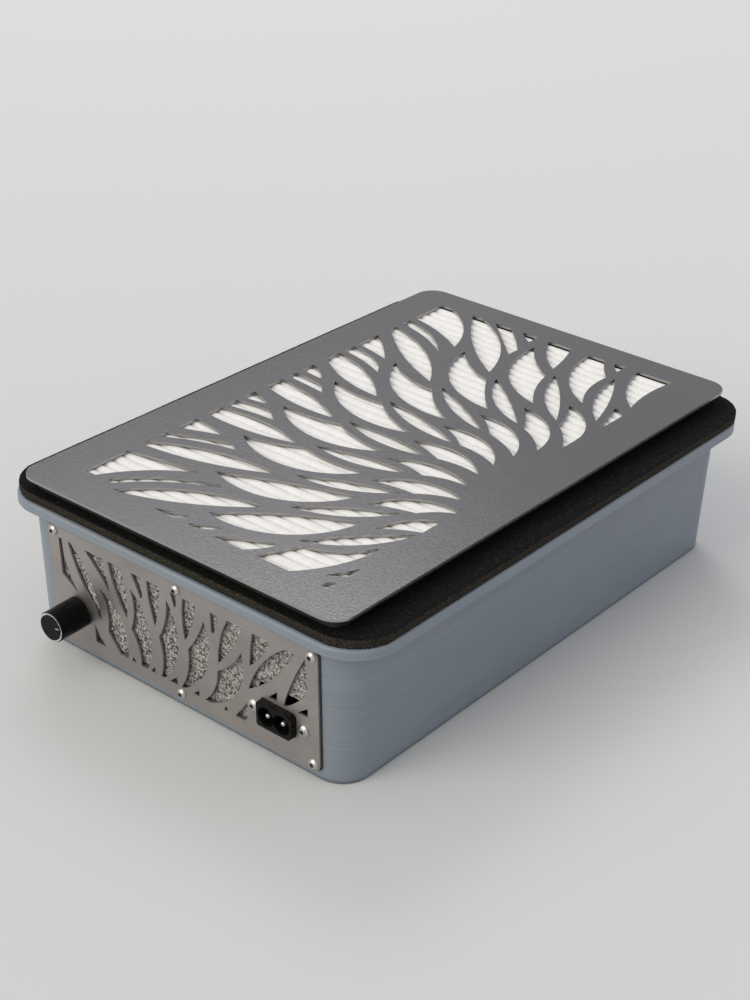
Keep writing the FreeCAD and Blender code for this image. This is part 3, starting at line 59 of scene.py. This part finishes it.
class Shader:
    """One material's node tree; sizes are in metres, in the object's own space."""

    def __init__(self, name):
        self.material = bpy.data.materials.new(name)
        self.material.use_nodes = True
        self.tree = self.material.node_tree
        self.surface = self.tree.nodes["Principled BSDF"]
        self.place = self.node("ShaderNodeTexCoord").outputs["Object"]
        self.relief = None

    def node(self, kind, **settings):
        made = self.tree.nodes.new(kind)
        for name, value in settings.items():
            setattr(made, name, value)
        return made

    def put(self, node, inputs):
        """Fill a node's inputs with values, or join them to other nodes' outputs."""
        for name, value in inputs.items():
            if isinstance(value, bpy.types.NodeSocket):
                self.tree.links.new(value, node.inputs[name])
            else:
                node.inputs[name].default_value = value
        return node

    def spread(self, size, stretch=(1, 1, 1)):
        """The place on the object, scaled so that a pattern's features have one size in metres."""
        scale = [1 / (size * factor) for factor in stretch]
        mapping = self.node("ShaderNodeMapping")
        return self.put(mapping, {"Vector": self.place, "Scale": scale}).outputs["Vector"]

    def noise(self, size, detail=2.0, stretch=(1, 1, 1)):
        """Soft noise from 0 to 1 with features of one size, drawn out along an axis by stretch."""
        texture = self.node("ShaderNodeTexNoise")
        inputs = {"Vector": self.spread(size, stretch), "Scale": 1.0, "Detail": detail}
        return self.put(texture, inputs).outputs["Fac"]

    def cells(self, size, output="Distance"):
        """Rounded cells of one size: the distance from each one's middle, or its own random colour."""
        texture = self.node("ShaderNodeTexVoronoi")
        inputs = {"Vector": self.spread(size), "Scale": 1.0}
        return self.put(texture, inputs).outputs[output]

    def ramp(self, value, *stops):
        """Colours along a value: each stop is a place from 0 to 1 and a colour."""
        made = self.put(self.node("ShaderNodeValToRGB"), {"Fac": value})
        elements = made.color_ramp.elements
        elements.remove(elements[1])
        elements[0].position = stops[0][0]
        elements[0].color = (*stops[0][1], 1.0)
        for position, colour in stops[1:]:
            elements.new(position).color = (*colour, 1.0)
        return made.outputs["Color"]

    def span(self, value, low, high, start=0.3, end=0.7):
        """A value stretched from start..end to low..high."""
        made = self.node("ShaderNodeMapRange")
        inputs = {"Value": value, "From Min": start, "From Max": end, "To Min": low, "To Max": high}
        return self.put(made, inputs).outputs["Result"]

    def mix(self, factor, first, second, how="MIX"):
        """Two colours blended by a factor from 0 to 1."""
        made = self.node("ShaderNodeMixRGB", blend_type=how)
        return self.put(made, {"Fac": factor, "Color1": first, "Color2": second}).outputs["Color"]

    def maths(self, how, first, second):
        made = self.node("ShaderNodeMath", operation=how)
        return self.put(made, {0: first, 1: second}).outputs["Value"]

    def level(self):
        """1 on faces that look straight up or down, 0 on upright ones."""
        normal = self.node("ShaderNodeNewGeometry").outputs["Normal"]
        parts = self.put(self.node("ShaderNodeSeparateXYZ"), {"Vector": normal})
        upright = self.maths("ABSOLUTE", parts.outputs["Z"], 0.0)
        return self.span(upright, 0.0, 1.0, 0.55, 0.75)

    def height(self, low, high):
        """0 below one height of the object's own space, rising to 1 at another."""
        parts = self.put(self.node("ShaderNodeSeparateXYZ"), {"Vector": self.place})
        return self.span(parts.outputs["Z"], 0.0, 1.0, low, high)

    def crevice(self, reach):
        """0 deep in a hole or a corner narrower than the reach, 1 on open faces."""
        probe = self.node("ShaderNodeAmbientOcclusion", samples=8, only_local=True)
        return self.put(probe, {"Distance": reach}).outputs["AO"]

    def bump(self, height, depth):
        """Relief of a depth in metres, laid over any relief already there."""
        inputs = {"Height": height, "Distance": depth}
        if self.relief is not None:
            inputs["Normal"] = self.relief
        self.relief = self.put(self.node("ShaderNodeBump"), inputs).outputs["Normal"]

    def finish(self, colour, roughness, **others):
        """Set the surface; other inputs are named with an underscore for each space."""
        inputs = {"Base Color": colour, "Roughness": roughness}
        inputs.update({name.replace("_", " "): value for name, value in others.items()})
        if self.relief is not None:
            inputs["Normal"] = self.relief
        self.put(self.surface, inputs)
        return self.material


def grey(level):
    return (level, level, level)


def shade(colour, factor):
    return tuple(part * factor for part in colour)


def moulded(name, colour, roughness):
    """Moulded plastic: a fine etched grain, faint cloudiness and slightly uneven gloss."""
    shader = Shader(name)
    cloud = shader.noise(14 * MM)
    fine = shader.noise(0.4 * MM, detail=3.0)
    tone = shader.ramp(cloud, (0.3, shade(colour, 0.86)), (0.7, shade(colour, 1.14)))
    speckle = shader.ramp(fine, (0.3, grey(0.9)), (0.7, grey(1.0)))
    shader.bump(fine, 0.02 * MM)
    return shader.finish(
        shader.mix(1.0, tone, speckle, "MULTIPLY"),
        shader.span(shader.noise(5 * MM), roughness * 0.85, roughness * 1.15),
    )


def machined(name, colour, roughness, stretch=(1, 1, 1), crevice_shade=0.12):
    """Bare metal: fine tool or grain lines, cloudy tarnish, uneven polish and painted shade darkening its
    holes and corners.
    """
    shader = Shader(name)
    lines = shader.noise(0.15 * MM, detail=3.0, stretch=stretch)
    tarnish = shader.noise(7 * MM, detail=3.0)
    tone = shader.ramp(tarnish, (0.3, shade(colour, 0.84)), (0.7, colour))
    streaks = shader.ramp(lines, (0.3, grey(0.9)), (0.7, grey(1.0)))
    # painted shade: the colour falls to crevice_shade where occlusion finds a hole or a corner, such as a
    # screw's socket
    corners = shader.ramp(shader.crevice(1.5 * MM), (0.35, grey(crevice_shade)), (0.85, grey(1.0)))
    shader.bump(lines, 0.005 * MM)
    return shader.finish(
        shader.mix(1.0, shader.mix(1.0, tone, streaks, "MULTIPLY"), corners, "MULTIPLY"),
        shader.span(tarnish, roughness * 0.8, roughness * 1.25),
        Metallic=1.0,
    )


# ---- materials that show most -------------------------------------------------------------------------

TUB_DARK = (0.185, 0.213, 0.245)
TUB_LIGHT = (0.226, 0.260, 0.298)


def tub_plastic():
    """Printed plastic: thin uneven layers up the walls, an even raster on level faces, and painted shade
    along its foot.
    """
    shader = Shader("tub_plastic")
    layers = shader.noise(0.55 * MM, detail=3.0, stretch=(110, 110, 1))
    bands = shader.noise(3.2 * MM, stretch=(70, 70, 1))
    raster = shader.noise(0.5 * MM)
    cloud = shader.noise(40 * MM)
    level = shader.level()
    pattern = shader.mix(level, shader.mix(0.45, layers, bands), raster)
    tone = shader.ramp(pattern, (0.34, TUB_DARK), (0.66, TUB_LIGHT))
    clouds = shader.ramp(cloud, (0.3, grey(0.94)), (0.7, grey(1.0)))
    # painted shade: the colour darkens over the lowest 2.4 mm, for the shade and dark reflection along the
    # bottom edge
    painted_foot_shade = shader.ramp(shader.height(0.2 * MM, 2.4 * MM), (0.0, grey(0.3)), (1.0, grey(1.0)))
    unshaded_tone = shader.mix(1.0, tone, clouds, "MULTIPLY")
    shader.bump(pattern, 0.06 * MM)
    return shader.finish(
        shader.mix(1.0, unshaded_tone, painted_foot_shade, "MULTIPLY"),
        shader.span(bands, 0.36, 0.5),
        Specular_IOR_Level=0.55,
    )


def seal_foam():
    """Black open-cell foam: torn pores, brown dust and painted light on its cut edge, painted shade on its
    top and a few pale specks.
    """
    shader = Shader("seal_foam")
    pores = shader.cells(0.75 * MM)
    clumps = shader.noise(1.6 * MM, detail=4.0)
    torn = shader.noise(0.45 * MM, detail=3.0)
    # painted shade: the level top is kept near black for the shade under the grille plate
    top = shader.ramp(
        clumps,
        (0.35, grey(0.003)), (0.6, (0.009, 0.0088, 0.0085)), (0.75, (0.022, 0.021, 0.02)),
    )
    # the upright cut faces: brown dust, with painted light making them lighter than the top
    edge = shader.ramp(
        torn,
        (0.36, (0.006, 0.005, 0.004)), (0.5, (0.023, 0.02, 0.016)), (0.68, (0.075, 0.062, 0.05)),
    )
    colour = shader.mix(shader.level(), edge, top)
    specks = shader.span(shader.noise(0.8 * MM, detail=1.0), 0.0, 0.5, 0.75, 0.81)
    colour = shader.mix(specks, colour, (0.2, 0.18, 0.15, 1.0))
    shader.bump(pores, 0.3 * MM)
    shader.bump(torn, 0.2 * MM)
    return shader.finish(colour, 0.95, Specular_IOR_Level=0.1)


def silencing_foam():
    """Rebonded foam: crumbs of pale, grey and near-black foam pressed into one slab."""
    shader = Shader("silencing_foam")
    crumbs = shader.cells(0.8 * MM, "Color")
    seams = shader.cells(0.8 * MM)
    fine = shader.noise(0.4 * MM, detail=3.0)
    pick = shader.mix(0.4, crumbs, fine)
    colour = shader.ramp(
        pick,
        (0.3, (0.05, 0.05, 0.047)), (0.4, (0.14, 0.138, 0.131)), (0.5, (0.255, 0.251, 0.238)),
        (0.62, (0.36, 0.355, 0.336)), (0.72, (0.52, 0.51, 0.485)),
    )
    shader.bump(seams, 0.3 * MM)
    shader.bump(fine, 0.2 * MM)
    return shader.finish(colour, 0.9, Specular_IOR_Level=0.2)


def grille_coat():
    """Fine-texture powder coat over steel, worn to brown metal on the cut walls of the leaves, and those
    walls lightened with painted light bounced up from the paper.
    """
    shader = Shader("grille_coat")
    grain = shader.noise(0.35 * MM, detail=3.0)
    peel = shader.noise(1.3 * MM, detail=3.0)
    cloud = shader.noise(25 * MM)
    flat = shader.ramp(grain, (0.32, (0.065, 0.064, 0.068)), (0.68, (0.102, 0.1, 0.106)))
    # painted light: every upright face, the leaves' cut walls and the plate's outer edge, gets this
    # lighter colour for light bounced up from the paper
    wall = shader.ramp(grain, (0.32, (0.3, 0.282, 0.265)), (0.68, (0.44, 0.418, 0.395)))
    clouds = shader.ramp(cloud, (0.3, grey(0.95)), (0.7, grey(1.0)))
    level = shader.level()
    colour = shader.mix(level, wall, shader.mix(1.0, flat, clouds, "MULTIPLY"))
    shader.bump(peel, 0.07 * MM)
    shader.bump(grain, 0.035 * MM)
    return shader.finish(
        colour,
        shader.span(peel, 0.18, 0.24),
        Metallic=shader.span(level, 0.8, 0.35, 0.0, 1.0),
        Specular_IOR_Level=0.6,
    )


def stainless():
    """Matt-rolled stainless sheet: a fine grain along its length and faint smears."""
    shader = Shader("stainless")
    grain = shader.noise(0.16 * MM, detail=3.0, stretch=(1, 30, 1))
    mottle = shader.noise(0.9 * MM, detail=4.0)
    smear = shader.noise(22 * MM, detail=3.0, stretch=(1, 1.6, 1))
    tone = shader.ramp(smear, (0.3, (0.39, 0.36, 0.345)), (0.7, (0.47, 0.435, 0.415)))
    lines = shader.ramp(grain, (0.3, grey(0.9)), (0.7, grey(1.0)))
    dots = shader.ramp(mottle, (0.3, grey(0.93)), (0.7, grey(1.0)))
    colour = shader.mix(1.0, shader.mix(1.0, tone, lines, "MULTIPLY"), dots, "MULTIPLY")
    shader.bump(grain, 0.006 * MM)
    shader.bump(mottle, 0.008 * MM)
    return shader.finish(colour, shader.span(smear, 0.4, 0.52), Metallic=0.92)


def filter_paper():
    """Felted glass-fibre paper: matt, near-white, with short fibres and a soft fuzz."""
    shader = Shader("filter_paper")
    fibres = shader.noise(0.3 * MM, detail=4.0, stretch=(1, 5, 1))
    felt = shader.noise(4 * MM, detail=3.0)
    tone = shader.ramp(felt, (0.3, (0.75, 0.73, 0.715)), (0.7, (0.81, 0.795, 0.785)))
    fuzz = shader.ramp(fibres, (0.3, grey(0.95)), (0.7, grey(1.0)))
    shader.bump(fibres, 0.05 * MM)
    return shader.finish(
        shader.mix(1.0, tone, fuzz, "MULTIPLY"), 0.95, Specular_IOR_Level=0.1, Sheen_Weight=0.1,
    )


def knob_gloss():
    """Polished black plastic with hairline scratches and a trace of dust."""
    shader = Shader("knob_gloss")
    hairs = shader.noise(0.12 * MM, stretch=(40, 1, 1))
    dust = shader.span(shader.noise(0.35 * MM, detail=1.0), 0.0, 0.5, 0.74, 0.8)
    tone = shader.ramp(hairs, (0.3, grey(0.003)), (0.7, grey(0.007)))
    shader.bump(hairs, 0.003 * MM)
    return shader.finish(
        shader.mix(dust, tone, (0.12, 0.115, 0.11, 1.0)),
        shader.span(shader.noise(3 * MM), 0.22, 0.34),
        Specular_IOR_Level=0.08,
    )


def inlet_plastic():
    """Hard moulded black plastic, glossy on its face with a slight pull to the surface."""
    shader = Shader("inlet_plastic")
    pull = shader.noise(2.2 * MM)
    fine = shader.noise(0.2 * MM)
    tone = shader.ramp(pull, (0.3, grey(0.003)), (0.7, grey(0.007)))
    shader.bump(pull, 0.02 * MM)
    shader.bump(fine, 0.004 * MM)
    return shader.finish(tone, shader.span(fine, 0.24, 0.36), Specular_IOR_Level=0.1)


# ---- materials of the small and inner pieces ----------------------------------------------------------

def black_rubber():
    """Matt black rubber with a faint bloom."""
    shader = Shader("black_rubber")
    bloom = shader.noise(3 * MM, detail=3.0)
    tone = shader.ramp(bloom, (0.3, grey(0.012)), (0.7, grey(0.03)))
    shader.bump(shader.noise(0.3 * MM), 0.02 * MM)
    return shader.finish(tone, shader.span(bloom, 0.6, 0.8))


def sealant():
    """A run bead of off-white glue, lumpy and a little glossy."""
    shader = Shader("sealant")
    lumps = shader.noise(4 * MM)
    tone = shader.ramp(lumps, (0.3, (0.62, 0.6, 0.53)), (0.7, (0.78, 0.76, 0.7)))
    shader.bump(lumps, 0.5 * MM)
    return shader.finish(tone, shader.span(lumps, 0.3, 0.5))


WIRE = 0.45 * MM
BAND_SCALE = 0.314


def copper():
    """Enamelled wire, wound side by side; at this scale a wave texture's bands are one wire apart."""
    shader = Shader("copper")
    wave = shader.node("ShaderNodeTexWave", wave_type="BANDS", bands_direction="Z")
    inputs = {"Vector": shader.spread(WIRE), "Scale": BAND_SCALE, "Distortion": 0.6}
    height = shader.put(wave, inputs).outputs["Fac"]
    tone = shader.ramp(height, (0.1, (0.16, 0.05, 0.015)), (0.7, (0.62, 0.25, 0.1)))
    shader.bump(height, 0.12 * MM)
    return shader.finish(tone, shader.span(shader.noise(2 * MM), 0.2, 0.35), Metallic=0.85)


def board_green():
    """Solder mask over copper tracks that show as slightly raised, lighter runs."""
    shader = Shader("board_green")
    tracks = shader.node("ShaderNodeTexBrick", offset=0.37, squash=0.7, squash_frequency=3)
    runs = shader.put(tracks, {
        "Vector": shader.spread(9 * MM),
        "Scale": 1.0,
        "Mortar Size": 0.05,
        "Color1": (0.012, 0.09, 0.035, 1.0),
        "Color2": (0.016, 0.11, 0.042, 1.0),
        "Mortar": (0.03, 0.17, 0.07, 1.0),
    })
    shader.bump(runs.outputs["Fac"], 0.04 * MM)
    return shader.finish(runs.outputs["Color"], shader.span(shader.noise(4 * MM), 0.2, 0.35))


def pointer_white():
    """Thin white paint, a little worn."""
    shader = Shader("pointer_white")
    paint = shader.noise(0.5 * MM, detail=3.0)
    tone = shader.ramp(paint, (0.3, grey(0.3)), (0.7, grey(0.42)))
    shader.bump(paint, 0.02 * MM)
    return shader.finish(tone, 0.5)


MATERIALS = {
    "tub_plastic": tub_plastic(),
    "seal_foam": seal_foam(),
    "silencing_foam": silencing_foam(),
    "grille_coat": grille_coat(),
    "stainless": stainless(),
    "filter_paper": filter_paper(),
    "knob_gloss": knob_gloss(),
    "inlet_plastic": inlet_plastic(),
    "black_rubber": black_rubber(),
    "sealant": sealant(),
    "copper": copper(),
    "board_green": board_green(),
    "pointer_white": pointer_white(),
    "black_plastic": moulded("black_plastic", (0.022, 0.022, 0.023), 0.5),
    "fan_plastic": moulded("fan_plastic", (0.035, 0.036, 0.038), 0.42),
    "capacitor_blue": moulded("capacitor_blue", (0.03, 0.08, 0.26), 0.3),
    "bright_steel": machined("bright_steel", (0.66, 0.65, 0.62), 0.38),
    "ring_silver": machined("ring_silver", (0.95, 0.95, 0.93), 0.55, crevice_shade=1.0),
    "brass": machined("brass", (0.72, 0.53, 0.25), 0.28),
    "pot_metal": machined("pot_metal", (0.5, 0.49, 0.47), 0.36),
    "bracket_aluminium": machined("bracket_aluminium", (0.66, 0.67, 0.68), 0.38, stretch=(25, 1, 1)),
}


def node_slots():
    """Each CAD node's material slot, as the record gives it."""
    found = {}
    for part in frame["record"]["subparts"]:
        found[part["node"]] = part["material_slot"]
    return found


def dress_nodes():
    """Give every CAD node its slot's material."""
    for name, slot in node_slots().items():
        node = nodes[name]
        for place in node.material_slots:
            place.material = MATERIALS[slot]


# ---- pieces made here ---------------------------------------------------------------------------------

def add_piece(name, mesh, slot, body):
    """A smooth piece of one material that rides on a body."""
    piece = bpy.data.objects.new(name, mesh)
    bpy.context.scene.collection.objects.link(piece)
    mesh.materials.clear()
    mesh.materials.append(MATERIALS[slot])
    mesh.shade_smooth()
    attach(piece, body)
    return piece


def even_copy(node, cell):
    """A CAD node's shape, remade in even cells."""
    carrier = bpy.data.objects.new("carrier", nodes[node].data.copy())
    bpy.context.scene.collection.objects.link(carrier)
    remesh = carrier.modifiers.new("even", "REMESH")
    remesh.mode = "VOXEL"
    remesh.voxel_size = cell
    graph = bpy.context.evaluated_depsgraph_get()
    mesh = bpy.data.meshes.new_from_object(carrier.evaluated_get(graph))
    bpy.data.objects.remove(carrier)
    return mesh


def sink(mesh, size, depth):
    """Press a mesh in along its normals by soft noise, so that it never grows."""
    normals = [vertex.normal.copy() for vertex in mesh.vertices]
    for vertex, normal in zip(mesh.vertices, normals):
        share = 0.5 + 0.5 * noise.noise(vertex.co / size)
        vertex.co -= normal * depth * min(max(share, 0.0), 1.0)


def make_foam_pad():
    """The black seal on the flange: hand-cut, so its edge wanders, with a torn open-cell skin."""
    mesh = even_copy("foam_gasket", 1.1 * MM)
    sink(mesh, 28 * MM, 0.35 * MM)
    sink(mesh, 2.2 * MM, 0.22 * MM)
    piece = add_piece("seal_pad", mesh, "seal_foam", "base")
    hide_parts("foam_gasket")


def make_silencer():
    """The crumbly slab behind the vents."""
    mesh = even_copy("exhaust_foam", 1.0 * MM)
    sink(mesh, 9 * MM, 0.4 * MM)
    sink(mesh, 1.6 * MM, 0.25 * MM)
    piece = add_piece("silencer_pad", mesh, "silencing_foam", "base")
    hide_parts("exhaust_foam")


PLEATS = 43
CREST_STEPS = 10
WALL_STEPS = 3
PLEAT_ROWS = 56
PAPER = 0.4 * MM
CREST_RISE = 1.2 * MM
VALLEY_HALF = 0.35 * MM
HELD_PLEATS = 1.5
LOOSE_START = 1.6
LOOSE_FALL = 0.9
DRIFT = 1.0 * MM
WAVER = 0.3 * MM
SAG = 0.25 * MM


def pleat_profile(pitch, low, high):
    """One pleat's line: from the middle of a narrow valley, up a wall, over a flattened crest and down."""
    shoulder = high - CREST_RISE
    foot = low + VALLEY_HALF
    crest_half = pitch / 2 - VALLEY_HALF
    climbs = [foot + (shoulder - foot) * step / WALL_STEPS for step in range(WALL_STEPS + 1)]
    line = [(0.0, low)]
    line += [(VALLEY_HALF, level) for level in climbs]
    for step in range(1, CREST_STEPS):
        turn = math.pi * step / CREST_STEPS
        across = pitch / 2 - crest_half * math.cos(turn)
        line.append((across, shoulder + CREST_RISE * math.sin(turn)))
    line += [(pitch - VALLEY_HALF, level) for level in reversed(climbs)]
    return line


def ripple(turn, y, pace, rate, layer):
    """Soft noise from -1 to 1 along the row of pleats and along each pleat, different on every layer."""
    return noise.noise(Vector((turn * pace, y * rate, layer)))


def make_paper():
    """One sheet of filter paper in upright pleats across the frame, each a little out of true.

    The sealant holds the first and last pleats, and the others stand looser towards the vent panel.
    """
    low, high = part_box("filter_media")
    pitch = (high.x - low.x - PAPER) / PLEATS
    base = low.z + PAPER / 2
    profile = pleat_profile(pitch, base, high.z - PAPER / 2)
    tall = high.z - low.z - PAPER
    line = [(pitch * pleat + x, z) for pleat in range(PLEATS) for x, z in profile]
    points = []
    for row in range(PLEAT_ROWS + 1):
        y = low.y + (high.y - low.y) * row / PLEAT_ROWS
        for x, z in line:
            turn = x / pitch
            free = min(1.0, turn / HELD_PLEATS, (PLEATS - turn) / HELD_PLEATS)
            loose = free * (LOOSE_START - LOOSE_FALL * turn / PLEATS)
            lean = DRIFT * ripple(turn, y, 0.24, 22, 3.0) + WAVER * ripple(turn, y, 0.6, 70, 9.0)
            sag = SAG * (0.5 + 0.5 * ripple(turn, y, 0.9, 26, 17.0))
            drop = loose * sag * (z - base) / tall
            points.append((low.x + PAPER / 2 + x + loose * lean, y, z - drop))
    faces = []
    count = len(line)
    for row in range(PLEAT_ROWS):
        for start in range(row * count, row * count + count - 1):
            faces.append((start, start + 1, start + count + 1, start + count))
    mesh = bpy.data.meshes.new("pleated_paper")
    mesh.from_pydata(points, [], faces)
    piece = add_piece("pleated_paper", mesh, "filter_paper", "cassette")
    thicken = piece.modifiers.new("thickness", "SOLIDIFY")
    thicken.thickness = PAPER
    thicken.offset = 0.0
    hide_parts("filter_media")


# ---- stage, light and camera --------------------------------------------------------------------------

FLOOR_TONE = 0.6
FLOOR_SIZE = 60.0


def floor_material():
    """Plain pale paper, with a tooth too fine to draw the eye."""
    shader = Shader("floor")
    tooth = shader.noise(1.2 * MM, detail=2.0)
    tone = shader.ramp(tooth, (0.3, grey(FLOOR_TONE * 0.99)), (0.7, grey(FLOOR_TONE)))
    return shader.finish(tone, 0.95, Specular_IOR_Level=0.0)


def make_floor():
    """A wide square sheet under the object."""
    half = FLOOR_SIZE / 2
    corners = [(-half, -half, 0), (half, -half, 0), (half, half, 0), (-half, half, 0)]
    mesh = bpy.data.meshes.new("floor")
    mesh.from_pydata(corners, [], [(0, 1, 2, 3)])
    mesh.materials.append(floor_material())
    floor = bpy.data.objects.new("floor", mesh)
    bpy.context.scene.collection.objects.link(floor)


SKY_STOPS = ((0.0, 0.63), (0.3, 0.69), (1.0, 0.75))
SKY_TINT = (0.985, 1.0, 1.035)


def make_sky():
    """An even studio glow, a little brighter overhead than at the horizon."""
    world = bpy.data.worlds.new("studio")
    bpy.context.scene.world = world
    world.use_nodes = True
    tree = world.node_tree
    background = tree.nodes["Background"]
    direction = tree.nodes.new("ShaderNodeTexCoord").outputs["Generated"]
    parts = tree.nodes.new("ShaderNodeSeparateXYZ")
    tree.links.new(direction, parts.inputs["Vector"])
    ramp = tree.nodes.new("ShaderNodeValToRGB")
    elements = ramp.color_ramp.elements
    elements.remove(elements[1])
    elements[0].color = (*shade(SKY_TINT, SKY_STOPS[0][1]), 1.0)
    for position, level in SKY_STOPS[1:]:
        elements.new(position).color = (*shade(SKY_TINT, level), 1.0)
    tree.links.new(parts.outputs["Z"], ramp.inputs["Fac"])
    tree.links.new(ramp.outputs["Color"], background.inputs["Color"])


def add_far_light(name, azimuth, elevation, strength, spread, colour):
    """A far soft light, seen from the object at an azimuth from +X towards +Y and an elevation."""
    data = bpy.data.lights.new(name, "SUN")
    data.energy = strength
    data.angle = math.radians(spread)
    data.color = colour
    light = bpy.data.objects.new(name, data)
    light.rotation_euler = (0.0, math.radians(90 - elevation), math.radians(azimuth))
    bpy.context.scene.collection.objects.link(light)


def add_softbox(name, place, aim, size, power):
    """A square panel of even light that faces a point, out of sight itself."""
    data = bpy.data.lights.new(name, "AREA")
    data.size = size
    data.energy = power
    box = bpy.data.objects.new(name, data)
    box.location = place
    box.rotation_euler = (Vector(aim) - Vector(place)).to_track_quat("-Z", "Y").to_euler()
    box.visible_camera = False
    bpy.context.scene.collection.objects.link(box)


SHEEN_PLACE = (1.34, 1.55, 2.13)
SHEEN_AIM = (-0.13, -0.08, 0.08)
SHEEN_SIZE = 1.05
SHEEN_POWER = 17.0

END_AZIMUTH = 161
END_ELEVATION = 33
END_STRENGTH = 1.5
END_SPREAD = 45
END_COLOUR = (1.0, 0.96, 0.82)


def make_lights():
    """A softbox behind that sheens the grille's near end, and a warm far light beyond the vent panel."""
    add_softbox("sheen_softbox", SHEEN_PLACE, SHEEN_AIM, SHEEN_SIZE, SHEEN_POWER)
    add_far_light("end_light", END_AZIMUTH, END_ELEVATION, END_STRENGTH, END_SPREAD, END_COLOUR)


CAMERA_PLACE = (-0.61493, -0.49537, 0.47574)
CAMERA_LENS = 68.16
YAW, PITCH, ROLL = -50.62, 28.59, 1.41


def make_camera():
    """Beyond the corner between the vent panel and the front, looking down at the grille."""
    yaw, pitch, roll = (math.radians(angle) for angle in (YAW, PITCH, ROLL))
    ahead = Vector((-math.sin(yaw), math.cos(yaw), 0.0))
    level = Vector((math.cos(yaw), math.sin(yaw), 0.0))
    forward = ahead * math.cos(pitch) - Vector((0.0, 0.0, math.sin(pitch)))
    upright = level.cross(forward)
    right = level * math.cos(roll) + upright * math.sin(roll)
    up = upright * math.cos(roll) - level * math.sin(roll)
    data = bpy.data.cameras.new("camera")
    data.lens = CAMERA_LENS
    camera = bpy.data.objects.new("camera", data)
    turn = Matrix((right, up, -forward)).transposed().to_4x4()
    camera.matrix_world = Matrix.Translation(CAMERA_PLACE) @ turn
    bpy.context.scene.collection.objects.link(camera)
    bpy.context.scene.camera = camera


make_camera()
dress_nodes()
make_foam_pad()
make_silencer()
make_paper()
make_floor()
make_sky()
make_lights()
bpy.context.scene.view_settings.view_transform = "Standard"
